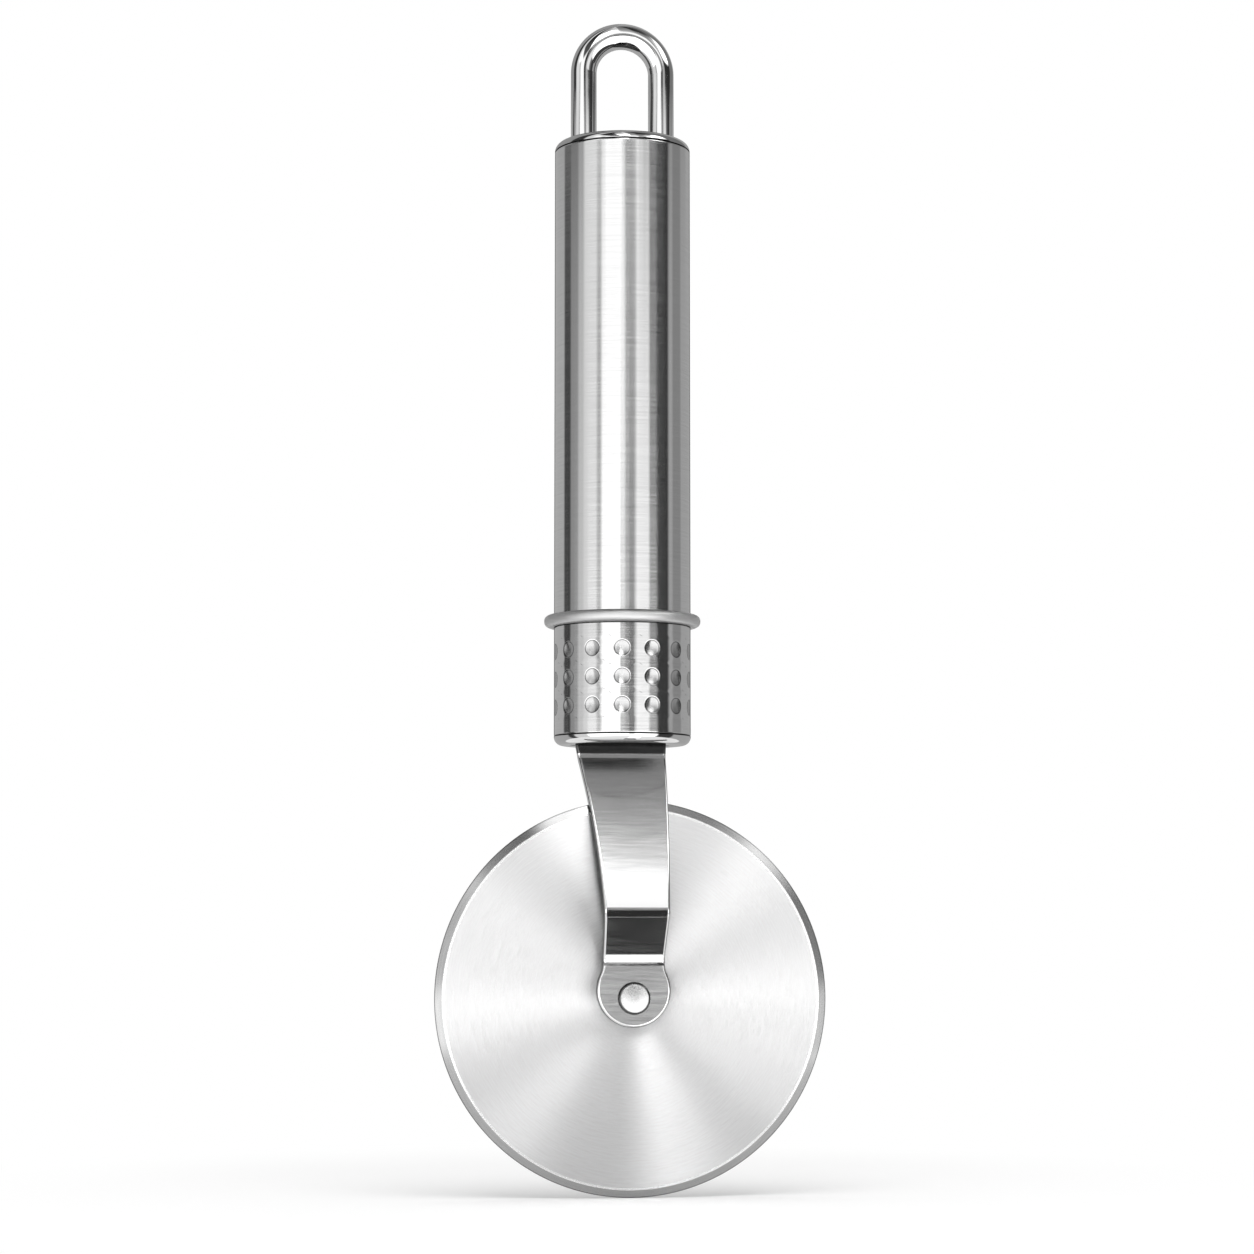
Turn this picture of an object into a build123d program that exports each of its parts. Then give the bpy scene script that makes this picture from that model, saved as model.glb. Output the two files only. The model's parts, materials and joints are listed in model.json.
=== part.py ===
"""A pizza cutter: a wheel on a bent strap arm, with a round steel handle and a wire loop to hang it by.

Millimetres and degrees. +Z runs up the handle, and the arm lies in front of the wheel, towards -Y.
The origin is on the surface that the wheel stands on, under the wheel's centre in X and under the
handle's axis in Y.
"""

import os
from math import cos, radians, sin

from build123d import *

# Wheel
wheel_diameter = 65.0
wheel_thickness = 1.0
bevel_width = 1.25
edge_land = 0.12
wheel_forward = 3.0
wheel_sideways = 1.1

# Hub: bush, washers and rivet
bush_diameter = 7.0
bush_flange_diameter = 9.0
bush_flange = 0.5
bush_proud = 0.3
axle_diameter = 4.5
axle_running_clearance = 0.05
end_play = 0.1
washer_diameter = 9.5
rear_washer_diameter = 12.0
washer_thickness = 0.6
rivet_tail_diameter = 3.5
rivet_button_diameter = 5.3
rivet_button_height = 0.9
rivet_button_rounding = 0.42
rivet_head_diameter = 9.4
rivet_head_height = 1.3
rivet_head_rounding = 0.8

# Arm: a strap that leaves the handle, bows forward over the wheel's edge and steps back to the hub
arm_thickness = 1.5
handle_gap = 9.2
arm_edge_rounding = 0.4
root_drop = 1.5
root_bend_radius = 2.0
bow_height = 24.4
bow_top_angle = 33.0
bow_bottom_angle = 10.5
crest_bend_radius = 1.7
step_angle = 34.0
foot_bend_radius = 4.0
slot_margin = 0.83
arm_root_sideways = 0.4
arm_waist_width = 11.7
arm_waist_sideways = 0.3
neck_step = 1.1
neck_rounding = 5.0
eye_diameter = 12.2
eye_rise = 1.3
tang_shoulder = 1.25
tang_length = 32.0
tang_corner = 1.5

# Handle shells and caps
tube_diameter = 22.8
tube_wall = 0.8
tube_length = 79.1
sleeve_length = 18.6
cap_rim_height = 1.5
cap_edge_land = 0.1
cap_skirt_length = 3.5
cap_skirt_wall = 1.0
slot_side_play = 0.2
slot_end_play = 0.6
snug_fit = 0.02
lip_rounding = 0.25

# Dimples pressed into the sleeve
dimple_diameter = 2.75
dimple_depth = 0.3
dimple_rounding = 0.12
dimple_columns = 14
dimple_rows = 3
dimple_pitch = 4.65
dimple_turn = -8.0

# Grip ring, held by its web between the tube and the sleeve
ring_height = 1.95
ring_proud = 1.65
ring_land = 0.15
ring_web = 1.2

# Plastic block that holds the tang inside the handle
block_top_margin = 3.0
block_bottom_gap = 0.5
pin_diameter = 3.0
pin_spacing = 12.0
pin_end_margin = 1.0

# Hanging loop
wire_diameter = 4.35
upset_clearance = 0.305
loop_height = 20.85
leg_hole_play = 0.05
keeper_thickness = 1.2
upset_lip = 0.5
upset_height = 0.8

# Places that follow from the sizes
wheel_radius = wheel_diameter / 2
axle_z = wheel_radius
handle_x = -wheel_sideways
tube_radius = tube_diameter / 2
bore_radius = tube_radius - tube_wall
skirt_radius = bore_radius - snug_fit
skirt_inner_radius = skirt_radius - cap_skirt_wall
handle_bottom_z = wheel_diameter + handle_gap
sleeve_bottom_z = handle_bottom_z + cap_rim_height
sleeve_top_z = sleeve_bottom_z + sleeve_length
tube_bottom_z = sleeve_top_z + ring_web
tube_top_z = tube_bottom_z + tube_length
cap_top_z = tube_top_z + cap_rim_height
handle_axis = Axis((handle_x, 0, 0), (0, 0, 1))
handle_section = Plane(origin=(handle_x, 0, 0), x_dir=(1, 0, 0), z_dir=(0, -1, 0))


def across_handle(height):
    """A plane square to the handle's axis, at this height."""
    return Plane(origin=(handle_x, 0, height))


# Hub stack, counted forward from the wheel's middle plane, so that towards the arm is positive
hub_front = wheel_thickness / 2 + bush_flange + end_play
eye_back = hub_front + washer_thickness
eye_front = eye_back + arm_thickness
hub_rear = wheel_thickness / 2 + bush_proud + end_play
rear_washer_back = hub_rear + washer_thickness
rivet_head_back = rear_washer_back + rivet_head_height
rivet_button_front = eye_front + rivet_button_height
hub_section = Plane(origin=(0, -wheel_forward, axle_z), x_dir=(1, 0, 0), z_dir=(0, 0, 1))
axle_axis = Axis((0, -wheel_forward, axle_z), (0, 1, 0))


def turned_on_axle(*corners):
    """A piece turned on the axle's axis. Corners are (radius, distance forward of the wheel)."""
    with BuildPart() as turned:
        with BuildSketch(hub_section):
            with BuildLine():
                Polyline(*[(radius, -forward) for radius, forward in corners], close=True)
            make_face()
        revolve(axis=axle_axis)
    return turned


def rims_along(part, axis):
    """The round edges of a turned piece, in order along an axis."""
    return part.edges().filter_by(GeomType.CIRCLE).sort_by(axis)


# Cutting wheel, ground to a double bevel
flat_radius = wheel_radius - bevel_width
half_wheel = wheel_thickness / 2
cutting_wheel = turned_on_axle(
    (bush_diameter / 2, -half_wheel),
    (flat_radius, -half_wheel),
    (wheel_radius, -edge_land / 2),
    (wheel_radius, edge_land / 2),
    (flat_radius, half_wheel),
    (bush_diameter / 2, half_wheel),
)
cutting_wheel.part.label = "cutting_wheel"

# Bush, pressed into the wheel from the front
bush_body_radius = bush_diameter / 2 - snug_fit
bush_bore_radius = axle_diameter / 2 + axle_running_clearance
wheel_bush = turned_on_axle(
    (bush_bore_radius, -half_wheel - bush_proud),
    (bush_body_radius, -half_wheel - bush_proud),
    (bush_body_radius, half_wheel),
    (bush_flange_diameter / 2, half_wheel),
    (bush_flange_diameter / 2, half_wheel + bush_flange),
    (bush_bore_radius, half_wheel + bush_flange),
)
wheel_bush.part.label = "wheel_bush"

# Washer between the arm and the bush, held by the rivet's shoulder
tail_hole_radius = rivet_tail_diameter / 2 + snug_fit
spacer_washer = turned_on_axle(
    (tail_hole_radius, hub_front),
    (washer_diameter / 2, hub_front),
    (washer_diameter / 2, eye_back),
    (tail_hole_radius, eye_back),
)
spacer_washer.part.label = "spacer_washer"

# Washer between the bush and the rivet's rear head
rear_washer = turned_on_axle(
    (axle_diameter / 2 + snug_fit, -rear_washer_back),
    (rear_washer_diameter / 2, -rear_washer_back),
    (rear_washer_diameter / 2, -hub_rear),
    (axle_diameter / 2 + snug_fit, -hub_rear),
)
rear_washer.part.label = "rear_washer"

# Shouldered rivet: a domed head behind the wheel, the axle, and a button riveted over the arm's eye
with BuildPart() as axle_rivet:
    add(
        turned_on_axle(
            (0, -rivet_head_back),
            (rivet_head_diameter / 2, -rivet_head_back),
            (rivet_head_diameter / 2, -rear_washer_back),
            (axle_diameter / 2, -rear_washer_back),
            (axle_diameter / 2, hub_front),
            (rivet_tail_diameter / 2, hub_front),
            (rivet_tail_diameter / 2, eye_front),
            (rivet_button_diameter / 2, eye_front),
            (rivet_button_diameter / 2, rivet_button_front),
            (0, rivet_button_front),
        ).part
    )
    fillet(rims_along(axle_rivet, Axis.Y)[0], radius=rivet_button_rounding)
    fillet(rims_along(axle_rivet, Axis.Y)[-1], radius=rivet_head_rounding)
axle_rivet.part.label = "axle_rivet"

# Side view of the arm's middle line: forward is positive here, and angles lean forward from straight down
eye_forward = wheel_forward + eye_back + arm_thickness / 2
top_lean = radians(bow_top_angle)
bottom_lean = radians(bow_bottom_angle)
step_lean = radians(step_angle)
bow_radius = bow_height / (sin(top_lean) - sin(bottom_lean))
crest_forward = (
    root_bend_radius * (1 - cos(top_lean))
    + bow_radius * (cos(bottom_lean) - cos(top_lean))
    - crest_bend_radius * (cos(bottom_lean) - cos(step_lean))
)
foot_forward = eye_forward + foot_bend_radius * (1 - cos(step_lean))
step_length = (crest_forward - foot_forward) / sin(step_lean)
tang_top_z = handle_bottom_z + tang_length
eye_centre_z = axle_z + eye_rise
eye_bottom_z = eye_centre_z - eye_diameter / 2
side_view = Plane(origin=(0, 0, 0), x_dir=(0, -1, 0), z_dir=(-1, 0, 0))

# Front view of the arm: the strap's curved sides, its round eye, and the narrower tang in the handle
front_view = Plane(origin=(0, 0, 0), x_dir=(1, 0, 0), z_dir=(0, -1, 0))
root_x = handle_x - arm_root_sideways
slot_length = 2 * (skirt_inner_radius - arm_root_sideways - slot_margin)
slot_width = arm_thickness + 2 * slot_side_play
arm_root_width = slot_length - 2 * slot_end_play
arm_neck_width = eye_diameter - 2 * neck_step
tang_width = arm_root_width - 2 * tang_shoulder
waist_z = (sleeve_bottom_z + eye_centre_z) / 2
root_left = (root_x - arm_root_width / 2, sleeve_bottom_z)
root_right = (root_x + arm_root_width / 2, sleeve_bottom_z)
waist_left = (-arm_waist_sideways - arm_waist_width / 2, waist_z)
waist_right = (-arm_waist_sideways + arm_waist_width / 2, waist_z)
neck_left = (-arm_neck_width / 2, eye_centre_z)
neck_right = (arm_neck_width / 2, eye_centre_z)
tang_centre_z = (sleeve_bottom_z + tang_top_z) / 2
pin_heights = (tang_centre_z - pin_spacing / 2, tang_centre_z + pin_spacing / 2)

with BuildPart() as arm:
    with BuildSketch(side_view):
        with BuildLine():
            tang = Line((0, tang_top_z), (0, handle_bottom_z - root_drop))
            root_bend = JernArc(tang @ 1, tang % 1, root_bend_radius, bow_top_angle)
            bow = JernArc(root_bend @ 1, root_bend % 1, bow_radius, bow_bottom_angle - bow_top_angle)
            crest = JernArc(bow @ 1, bow % 1, crest_bend_radius, -bow_bottom_angle - step_angle)
            step = PolarLine(crest @ 1, step_length, direction=crest % 1)
            foot = JernArc(step @ 1, step % 1, foot_bend_radius, step_angle)
            Line(foot @ 1, (eye_forward, eye_bottom_z))
        trace(line_width=arm_thickness)
    extrude(amount=tube_diameter, both=True)
    with BuildSketch(front_view) as arm_outline:
        with BuildLine():
            left_side = ThreePointArc(root_left, waist_left, neck_left)
            right_side = ThreePointArc(neck_right, waist_right, root_right)
            Line(left_side @ 1, right_side @ 0)
            Line(right_side @ 1, left_side @ 0)
        make_face()
        with Locations((0, eye_centre_z)):
            Circle(eye_diameter / 2)
        fillet(arm_outline.vertices().sort_by(Axis.Y)[-4:-2], radius=neck_rounding)
        with Locations((handle_x, tang_top_z)):
            Rectangle(tang_width, tang_top_z - sleeve_bottom_z, align=(Align.CENTER, Align.MAX))
        fillet(arm_outline.vertices().sort_by(Axis.Y)[-2:], radius=tang_corner)
    extrude(amount=tube_diameter, both=True, mode=Mode.INTERSECT)
    curved_edges = arm.edges().filter_by(GeomType.LINE, reverse=True)
    strap_edges = curved_edges.filter_by_position(Axis.Z, 0, sleeve_bottom_z)
    fillet(strap_edges, radius=arm_edge_rounding)
    with BuildSketch(front_view):
        with Locations((0, axle_z)):
            Circle(tail_hole_radius)
        with Locations(*[(handle_x, height) for height in pin_heights]):
            Circle(pin_diameter / 2 + snug_fit)
    extrude(amount=tube_diameter, both=True, mode=Mode.SUBTRACT)
arm.part.label = "arm"


def handle_shell(bottom_z, length):
    """A round shell of the handle's section that stands at this height, with its outer lips rounded."""
    with BuildPart() as shell:
        with BuildSketch(across_handle(bottom_z)):
            Circle(tube_radius)
            Circle(bore_radius, mode=Mode.SUBTRACT)
        extrude(amount=length)
        rims = shell.edges().filter_by(GeomType.CIRCLE).sort_by(SortBy.RADIUS)
        fillet(rims[-2:], radius=lip_rounding)
    return shell


# Handle tube
handle_tube = handle_shell(tube_bottom_z, tube_length)
handle_tube.part.label = "handle_tube"

# Sleeve with its rows of dimples, each pressed in by a ball
dimple_ball_radius = ((dimple_diameter / 2) ** 2 + dimple_depth**2) / (2 * dimple_depth)
dimple_ball_distance = tube_radius - dimple_depth + dimple_ball_radius
front_direction = -90.0
with BuildPart() as dimpled_sleeve:
    add(handle_shell(sleeve_bottom_z, sleeve_length).part)
    for row in range(dimple_rows):
        row_z = (sleeve_bottom_z + sleeve_top_z) / 2 + (row - (dimple_rows - 1) / 2) * dimple_pitch
        with Locations((handle_x, 0, row_z)):
            with PolarLocations(dimple_ball_distance, dimple_columns, front_direction + dimple_turn):
                Sphere(dimple_ball_radius, mode=Mode.SUBTRACT)
    sphere_faces = dimpled_sleeve.faces().filter_by(GeomType.SPHERE)
    fillet(sphere_faces.edges().filter_by(GeomType.LINE, reverse=True), radius=dimple_rounding)
dimpled_sleeve.part.label = "dimpled_sleeve"

# Grip ring: round outside, with a web that reaches in between the two shells
with BuildPart() as grip_ring:
    with BuildSketch(across_handle((sleeve_top_z + tube_bottom_z - ring_height) / 2)):
        Circle(tube_radius + ring_proud)
        Circle(tube_radius + snug_fit, mode=Mode.SUBTRACT)
    extrude(amount=ring_height)
    ring_rims = grip_ring.edges().filter_by(GeomType.CIRCLE).sort_by(SortBy.RADIUS)
    fillet(ring_rims[-2:], radius=(ring_height - ring_land) / 2)
    with BuildSketch(across_handle(sleeve_top_z)):
        Circle(tube_radius + ring_proud / 2)
        Circle(bore_radius, mode=Mode.SUBTRACT)
    extrude(amount=ring_web)
grip_ring.part.label = "grip_ring"


def end_cap(seam_z, outward):
    """A round end cap: its rim stands out from the seam and its skirt goes into the shell.

    outward is 1 for a cap on top and -1 for a cap below.
    """
    rim_z = seam_z + outward * cap_rim_height
    skirt_z = seam_z - outward * cap_skirt_length
    with BuildPart() as cap:
        with BuildSketch(handle_section):
            with BuildLine():
                Polyline(
                    (0, rim_z),
                    (tube_radius, rim_z),
                    (tube_radius, seam_z),
                    (skirt_radius, seam_z),
                    (skirt_radius, skirt_z),
                    (skirt_inner_radius, skirt_z),
                    (skirt_inner_radius, seam_z),
                    (0, seam_z),
                    close=True,
                )
            make_face()
        revolve(axis=handle_axis)
        outer_rim = cap.edges().filter_by(GeomType.CIRCLE).sort_by(Axis.Z)[-1 if outward > 0 else 0]
        fillet(outer_rim, radius=cap_rim_height - cap_edge_land)
    return cap


# Top cap, with two holes for the loop's legs
leg_spacing = 2 * (skirt_inner_radius - upset_clearance - upset_lip) - wire_diameter
leg_places = ((-leg_spacing / 2, 0), (leg_spacing / 2, 0))
leg_hole_radius = wire_diameter / 2 + leg_hole_play
with BuildPart() as top_cap:
    add(end_cap(tube_top_z, 1).part)
    with BuildSketch(across_handle(tube_top_z)):
        with Locations(*leg_places):
            Circle(leg_hole_radius)
    extrude(amount=cap_rim_height, mode=Mode.SUBTRACT)
top_cap.part.label = "top_cap"

# Bottom cap, with the slot that the arm comes out of
with BuildPart() as bottom_cap:
    add(end_cap(sleeve_bottom_z, -1).part)
    with BuildSketch(Plane(origin=(root_x, 0, handle_bottom_z))):
        SlotOverall(slot_length, slot_width)
    extrude(amount=cap_rim_height, mode=Mode.SUBTRACT)
bottom_cap.part.label = "bottom_cap"

# Plate under the top cap that the loop's upset leg ends bear on
keeper_bottom_z = tube_top_z - keeper_thickness
with BuildPart() as loop_keeper:
    with BuildSketch(across_handle(keeper_bottom_z)):
        Circle(skirt_inner_radius - leg_hole_play)
        with Locations(*leg_places):
            Circle(leg_hole_radius, mode=Mode.SUBTRACT)
    extrude(amount=keeper_thickness)
loop_keeper.part.label = "loop_keeper"

# Hanging loop: round wire bent to a U, with its leg ends upset under the plate
loop_spring_z = cap_top_z + loop_height - wire_diameter / 2 - leg_spacing / 2
with BuildPart() as hanging_loop:
    with BuildLine(handle_section) as loop_line:
        left_leg = Line((-leg_spacing / 2, keeper_bottom_z), (-leg_spacing / 2, loop_spring_z))
        loop_bend = JernArc(left_leg @ 1, left_leg % 1, leg_spacing / 2, -180)
        Line(loop_bend @ 1, (leg_spacing / 2, keeper_bottom_z))
    with BuildSketch(across_handle(keeper_bottom_z)):
        with Locations(leg_places[0]):
            Circle(wire_diameter / 2)
    sweep(path=loop_line.wire())
    with BuildSketch(across_handle(keeper_bottom_z)):
        with Locations(*leg_places):
            Circle(wire_diameter / 2 + upset_lip)
    extrude(amount=-upset_height)
hanging_loop.part.label = "hanging_loop"

# Plastic block in two halves that meet on the tang's middle plane
block_radius = bore_radius - snug_fit
block_bottom_z = sleeve_bottom_z + cap_skirt_length + block_bottom_gap
block_top_z = tang_top_z + block_top_margin
pin_length = 2 * (block_radius - pin_end_margin)
tang_pocket = (tang_width + 2 * snug_fit, arm_thickness + 2 * snug_fit)


def block_half(side):
    """Half of the plastic block, with half of the tang's pocket. side is -1 in front and 1 behind."""
    with BuildPart() as half:
        with BuildSketch(across_handle(block_bottom_z)):
            Circle(block_radius)
            Rectangle(*tang_pocket, mode=Mode.SUBTRACT)
        extrude(amount=tang_top_z + snug_fit - block_bottom_z)
        with BuildSketch(across_handle(tang_top_z + snug_fit)):
            Circle(block_radius)
        extrude(amount=block_top_z - tang_top_z - snug_fit)
        with BuildSketch(front_view):
            with Locations(*[(handle_x, height) for height in pin_heights]):
                Circle(pin_diameter / 2 + snug_fit)
        extrude(amount=tube_diameter, both=True, mode=Mode.SUBTRACT)
        split(bisect_by=Plane.XZ, keep=Keep.TOP if side < 0 else Keep.BOTTOM)
    return half


tang_block_front = block_half(-1)
tang_block_front.part.label = "tang_block_front"
tang_block_rear = block_half(1)
tang_block_rear.part.label = "tang_block_rear"

# Pins through both halves and the tang
with BuildPart() as tang_pins:
    with BuildSketch(front_view):
        with Locations(*[(handle_x, height) for height in pin_heights]):
            Circle(pin_diameter / 2)
    extrude(amount=pin_length / 2, both=True)
tang_pins.part.label = "tang_pins"

sub_parts = (
    cutting_wheel,
    wheel_bush,
    spacer_washer,
    rear_washer,
    axle_rivet,
    arm,
    handle_tube,
    dimpled_sleeve,
    grip_ring,
    top_cap,
    bottom_cap,
    loop_keeper,
    hanging_loop,
    tang_block_front,
    tang_block_rear,
    tang_pins,
)
os.makedirs("parts", exist_ok=True)
for sub_part in sub_parts:
    export_step(sub_part.part, f"parts/{sub_part.part.label}.step")
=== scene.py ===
# %% [markdown]
# # A pizza cutter in steel
#
# A cutting wheel turns on a rivet at the end of a bent strap, the strap goes into a round steel
# handle, and a wire loop on top hangs the whole thing up. Nearly every surface is bare steel, and
# bare steel has no colour of its own: what shows is the studio round it, smeared by the brush marks.
# So the lesson spends its time on three things: smooth meshes, brush marks that run the right way,
# and a studio worth reflecting.
#
# ## The frame
#
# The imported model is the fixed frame. Every size below that the frame can tell is read from it.

# %% Load the frame
import json
from math import asin, atan2, cos, hypot, pi, radians, sin, sqrt, tan

import bmesh
import bpy
from mathutils import Euler, Matrix, Vector


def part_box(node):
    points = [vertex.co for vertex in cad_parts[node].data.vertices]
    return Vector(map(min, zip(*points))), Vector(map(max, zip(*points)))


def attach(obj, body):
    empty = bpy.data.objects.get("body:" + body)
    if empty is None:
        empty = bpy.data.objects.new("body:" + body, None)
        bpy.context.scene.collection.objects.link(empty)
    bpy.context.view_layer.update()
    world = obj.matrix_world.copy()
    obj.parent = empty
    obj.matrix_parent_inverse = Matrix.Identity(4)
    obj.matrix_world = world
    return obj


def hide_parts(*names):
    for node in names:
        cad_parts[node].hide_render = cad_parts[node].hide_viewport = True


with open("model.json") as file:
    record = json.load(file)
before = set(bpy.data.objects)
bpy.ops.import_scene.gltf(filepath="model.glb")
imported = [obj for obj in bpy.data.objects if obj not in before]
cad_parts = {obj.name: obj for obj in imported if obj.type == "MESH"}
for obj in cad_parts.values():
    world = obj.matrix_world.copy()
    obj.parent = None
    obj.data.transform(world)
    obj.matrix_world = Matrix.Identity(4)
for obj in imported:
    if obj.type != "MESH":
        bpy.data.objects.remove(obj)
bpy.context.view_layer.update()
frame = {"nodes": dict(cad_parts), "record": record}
nodes = frame["nodes"]
scene = bpy.context.scene
MM = 0.001

# %% [markdown]
# ## Sizes
#
# A box round a node gives its outer size and its place: the wheel's box gives the wheel's radius and
# its centre, the tube's box gives the handle's axis. What a box can't tell, such as a wall or the
# rounding of an edge, is written once, where it is first needed, as the maker's drawing has it.

# %% Read the main places from the frame
wheel_low, wheel_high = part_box("cutting_wheel")
wheel_radius = (wheel_high.x - wheel_low.x) / 2
axle = (wheel_low + wheel_high) / 2
half_wheel = (wheel_high.y - wheel_low.y) / 2
tube_low, tube_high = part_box("handle_tube")
sleeve_low, sleeve_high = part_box("dimpled_sleeve")
ring_low, ring_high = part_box("grip_ring")
tube_radius = (tube_high.x - tube_low.x) / 2
handle_x = (tube_high.x + tube_low.x) / 2
arm_low, arm_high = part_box("arm")
slot_of = {row["node"]: row["material_slot"] for row in frame["record"]["subparts"]}
print(f"wheel radius {wheel_radius / MM:.2f} mm, handle radius {tube_radius / MM:.2f} mm")

# %% [markdown]
# ## The camera
#
# The photograph was taken from about the height of the wheel's upper part, a little to the left of
# straight ahead, and from half a metre away. The strap hides less of the wheel's right side than of
# its left, the caps show that the handle is seen from slightly below, and both follow from the
# camera's place. The lens is long, so the handle's sides stay parallel.

# %% Place the camera
CAMERA_TURN = radians(8.0)
CAMERA_RISE = radians(5.26)
CAMERA_HEIGHT = 45 * MM
CAMERA_DISTANCE = 532.75 * MM
CAMERA_SIDESTEP = -0.3 * MM
LENS = 91.87
SENSOR = 36.0

camera_data = bpy.data.cameras.new("camera")
camera_data.lens = LENS
camera_data.sensor_width = SENSOR
camera_data.clip_start = 10 * MM
camera_data.clip_end = 20
camera = bpy.data.objects.new("camera", camera_data)
scene.collection.objects.link(camera)
scene.camera = camera
camera_right = Vector((cos(CAMERA_TURN), -sin(CAMERA_TURN), 0))
camera_ahead = Vector((sin(CAMERA_TURN), cos(CAMERA_TURN), 0))
camera.location = Vector((0, 0, CAMERA_HEIGHT)) - camera_ahead * CAMERA_DISTANCE
camera.location += camera_right * CAMERA_SIDESTEP
camera.rotation_euler = Euler((pi / 2 + CAMERA_RISE, 0, -CAMERA_TURN))
scene.view_settings.view_transform = "Standard"
print("camera at", [round(c, 3) for c in camera.location])

# %% [markdown]
# ## Small tools for node trees
#
# A node tree written out link by link is long and hard to read. A few short functions keep it to one
# line a node: a value goes straight into a socket, and another node's output is linked to it.


# %% Node helpers
def put(tree, kind, sockets=None, **settings):
    """Add a node. Sockets are given by name or number, as values or as other nodes' outputs."""
    node = tree.nodes.new(kind)
    for name, value in settings.items():
        setattr(node, name, value)
    for key, value in (sockets or {}).items():
        if isinstance(value, bpy.types.NodeSocket):
            tree.links.new(value, node.inputs[key])
        else:
            node.inputs[key].default_value = value
    return node


def calculate(tree, operation, *values):
    """One Math node, as its output."""
    return put(tree, "ShaderNodeMath", dict(enumerate(values)), operation=operation).outputs[0]


def move_range(tree, value, low, high, to_low=0.0, to_high=1.0, smooth=True):
    """Carry a value from one range to another, held at both ends."""
    sockets = {"Value": value, "From Min": low, "From Max": high, "To Min": to_low, "To Max": to_high}
    kind = "SMOOTHSTEP" if smooth else "LINEAR"
    return put(tree, "ShaderNodeMapRange", sockets, interpolation_type=kind).outputs["Result"]


def mix_values(tree, share, first, second):
    """Go from the first value to the second as share goes from 0 to 1."""
    return put(tree, "ShaderNodeMix", {0: share, 2: first, 3: second}).outputs[0]


def window(tree, value, low, high, edge=1.0):
    """One between low and high, and nothing outside them, with soft edges."""
    off_middle = calculate(tree, "ABSOLUTE", calculate(tree, "SUBTRACT", value, (low + high) / 2))
    half = (high - low) / 2
    return move_range(tree, off_middle, half - edge / 2, half + edge / 2, 1.0, 0.0)


def calculate_vector(tree, operation, *vectors):
    """One Vector Math node that gives a vector, as its output."""
    return put(tree, "ShaderNodeVectorMath", dict(enumerate(vectors)), operation=operation).outputs[0]


def length_of(tree, vector):
    """The length of a vector."""
    return put(tree, "ShaderNodeVectorMath", {0: vector}, operation="LENGTH").outputs["Value"]


def ray_seen_twice(tree):
    """One for a ray that has already been mirrored by steel once."""
    depth = put(tree, "ShaderNodeLightPath").outputs["Glossy Depth"]
    return calculate(tree, "GREATER_THAN", depth, 1.5)


print("node helpers ready")

# %% [markdown]
# ## The studio's rows
#
# The photographer stood light panels and dark cards round the cutter, and the steel shows them as
# upright stripes. Here the studio is painted on the sky, in rows one above the other. Each row is a
# list of panels with the bearing at which each one ends and how bright it is, counted from the
# camera, with plus to the right. Steel reflects about four fifths of what falls on it, so a panel of
# 1.2 looks white in it.

# %% List the panels of the three rows
BRIGHT = 1.22
# Each entry is (name, bearing in degrees where it ends, brightness), going round from behind.
panels = (
    ("dark curtain behind, left", -163, 0.12),
    ("wall behind, left", -116, 0.45),
    ("dark card, far left", -98, 0.05),
    ("dim wall, left", -80, 0.33),
    ("dim panel, left", -69, 0.63),
    ("light panel, left", -43.5, 0.79),
    ("panel's frame", -35.5, 0.34),
    ("white panel behind the camera", 5, 1.25),
    ("grey gap", 23.5, 0.38),
    ("light panel, right", 46.5, 0.95),
    ("panel's fading edge", 59, 0.20),
    ("dark card, right", 84.5, 0.05),
    ("bright slit", 94.5, 0.44),
    ("dim wall, right", 117, 0.26),
    ("wall behind, right", 163, 0.39),
    ("dark curtain behind, right", 180, 0.12),
)
# What the wire loop mirrors, just above the first row.
wire_panels = (
    ("dim wall behind, left", -100, 0.33),
    ("dark card, far left", -69, 0.04),
    ("light panel, left", -38, 0.86),
    ("panel's frame", -29, 0.50),
    ("white panel behind the camera", 0, BRIGHT),
    ("thin dark card", 17, 0.04),
    ("dim panel", 36, 0.46),
    ("dark card, right", 90, 0.03),
    ("dim wall, right", 140, 0.20),
    ("wall behind, right", 180, 0.40),
)
# What stands on the table.
ground_panels = (
    ("wall behind, left", -103, 0.44),
    ("dark card, far left", -88, 0.05),
    ("light panel, left", -60, 0.80),
    ("white panels all round the front", 62, 2.05),
    ("dark card, right", 95, 0.05),
    ("wall behind, right", 180, 0.42),
)
# Heights in degrees over which one row fades into the next.
GROUND_TO_LOW = (-0.5, 2.5)
LOW_TO_WIRE = (14.0, 15.0)
print("panels in the rows:", len(panels), len(wire_panels), len(ground_panels))

# %% [markdown]
# ## The fan and the single cards
#
# The brushed wheel smears what it mirrors into rays from its middle. So the cards above the camera
# are a fan round the point that the flat of the wheel mirrors: what stands at one angle of the fan
# makes one ray of the wheel light or dark. The fan ends below the studio's dark roof, which the wire
# loop and the caps mirror. The strap leans forward and mirrors the fan's middle, the higher up the
# more it leans, and grows dark towards the handle. So over the strap the fan grows dim with height.
#
# Three single cards are held where one spot of the strap mirrors them: one before its crest, one
# before its eye, and one before the white stretch over the crest.

# %% List the fan's cards and the single cards
MIRRORED_BEARING = 16.0
MIRRORED_HEIGHT = -1.0
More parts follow.
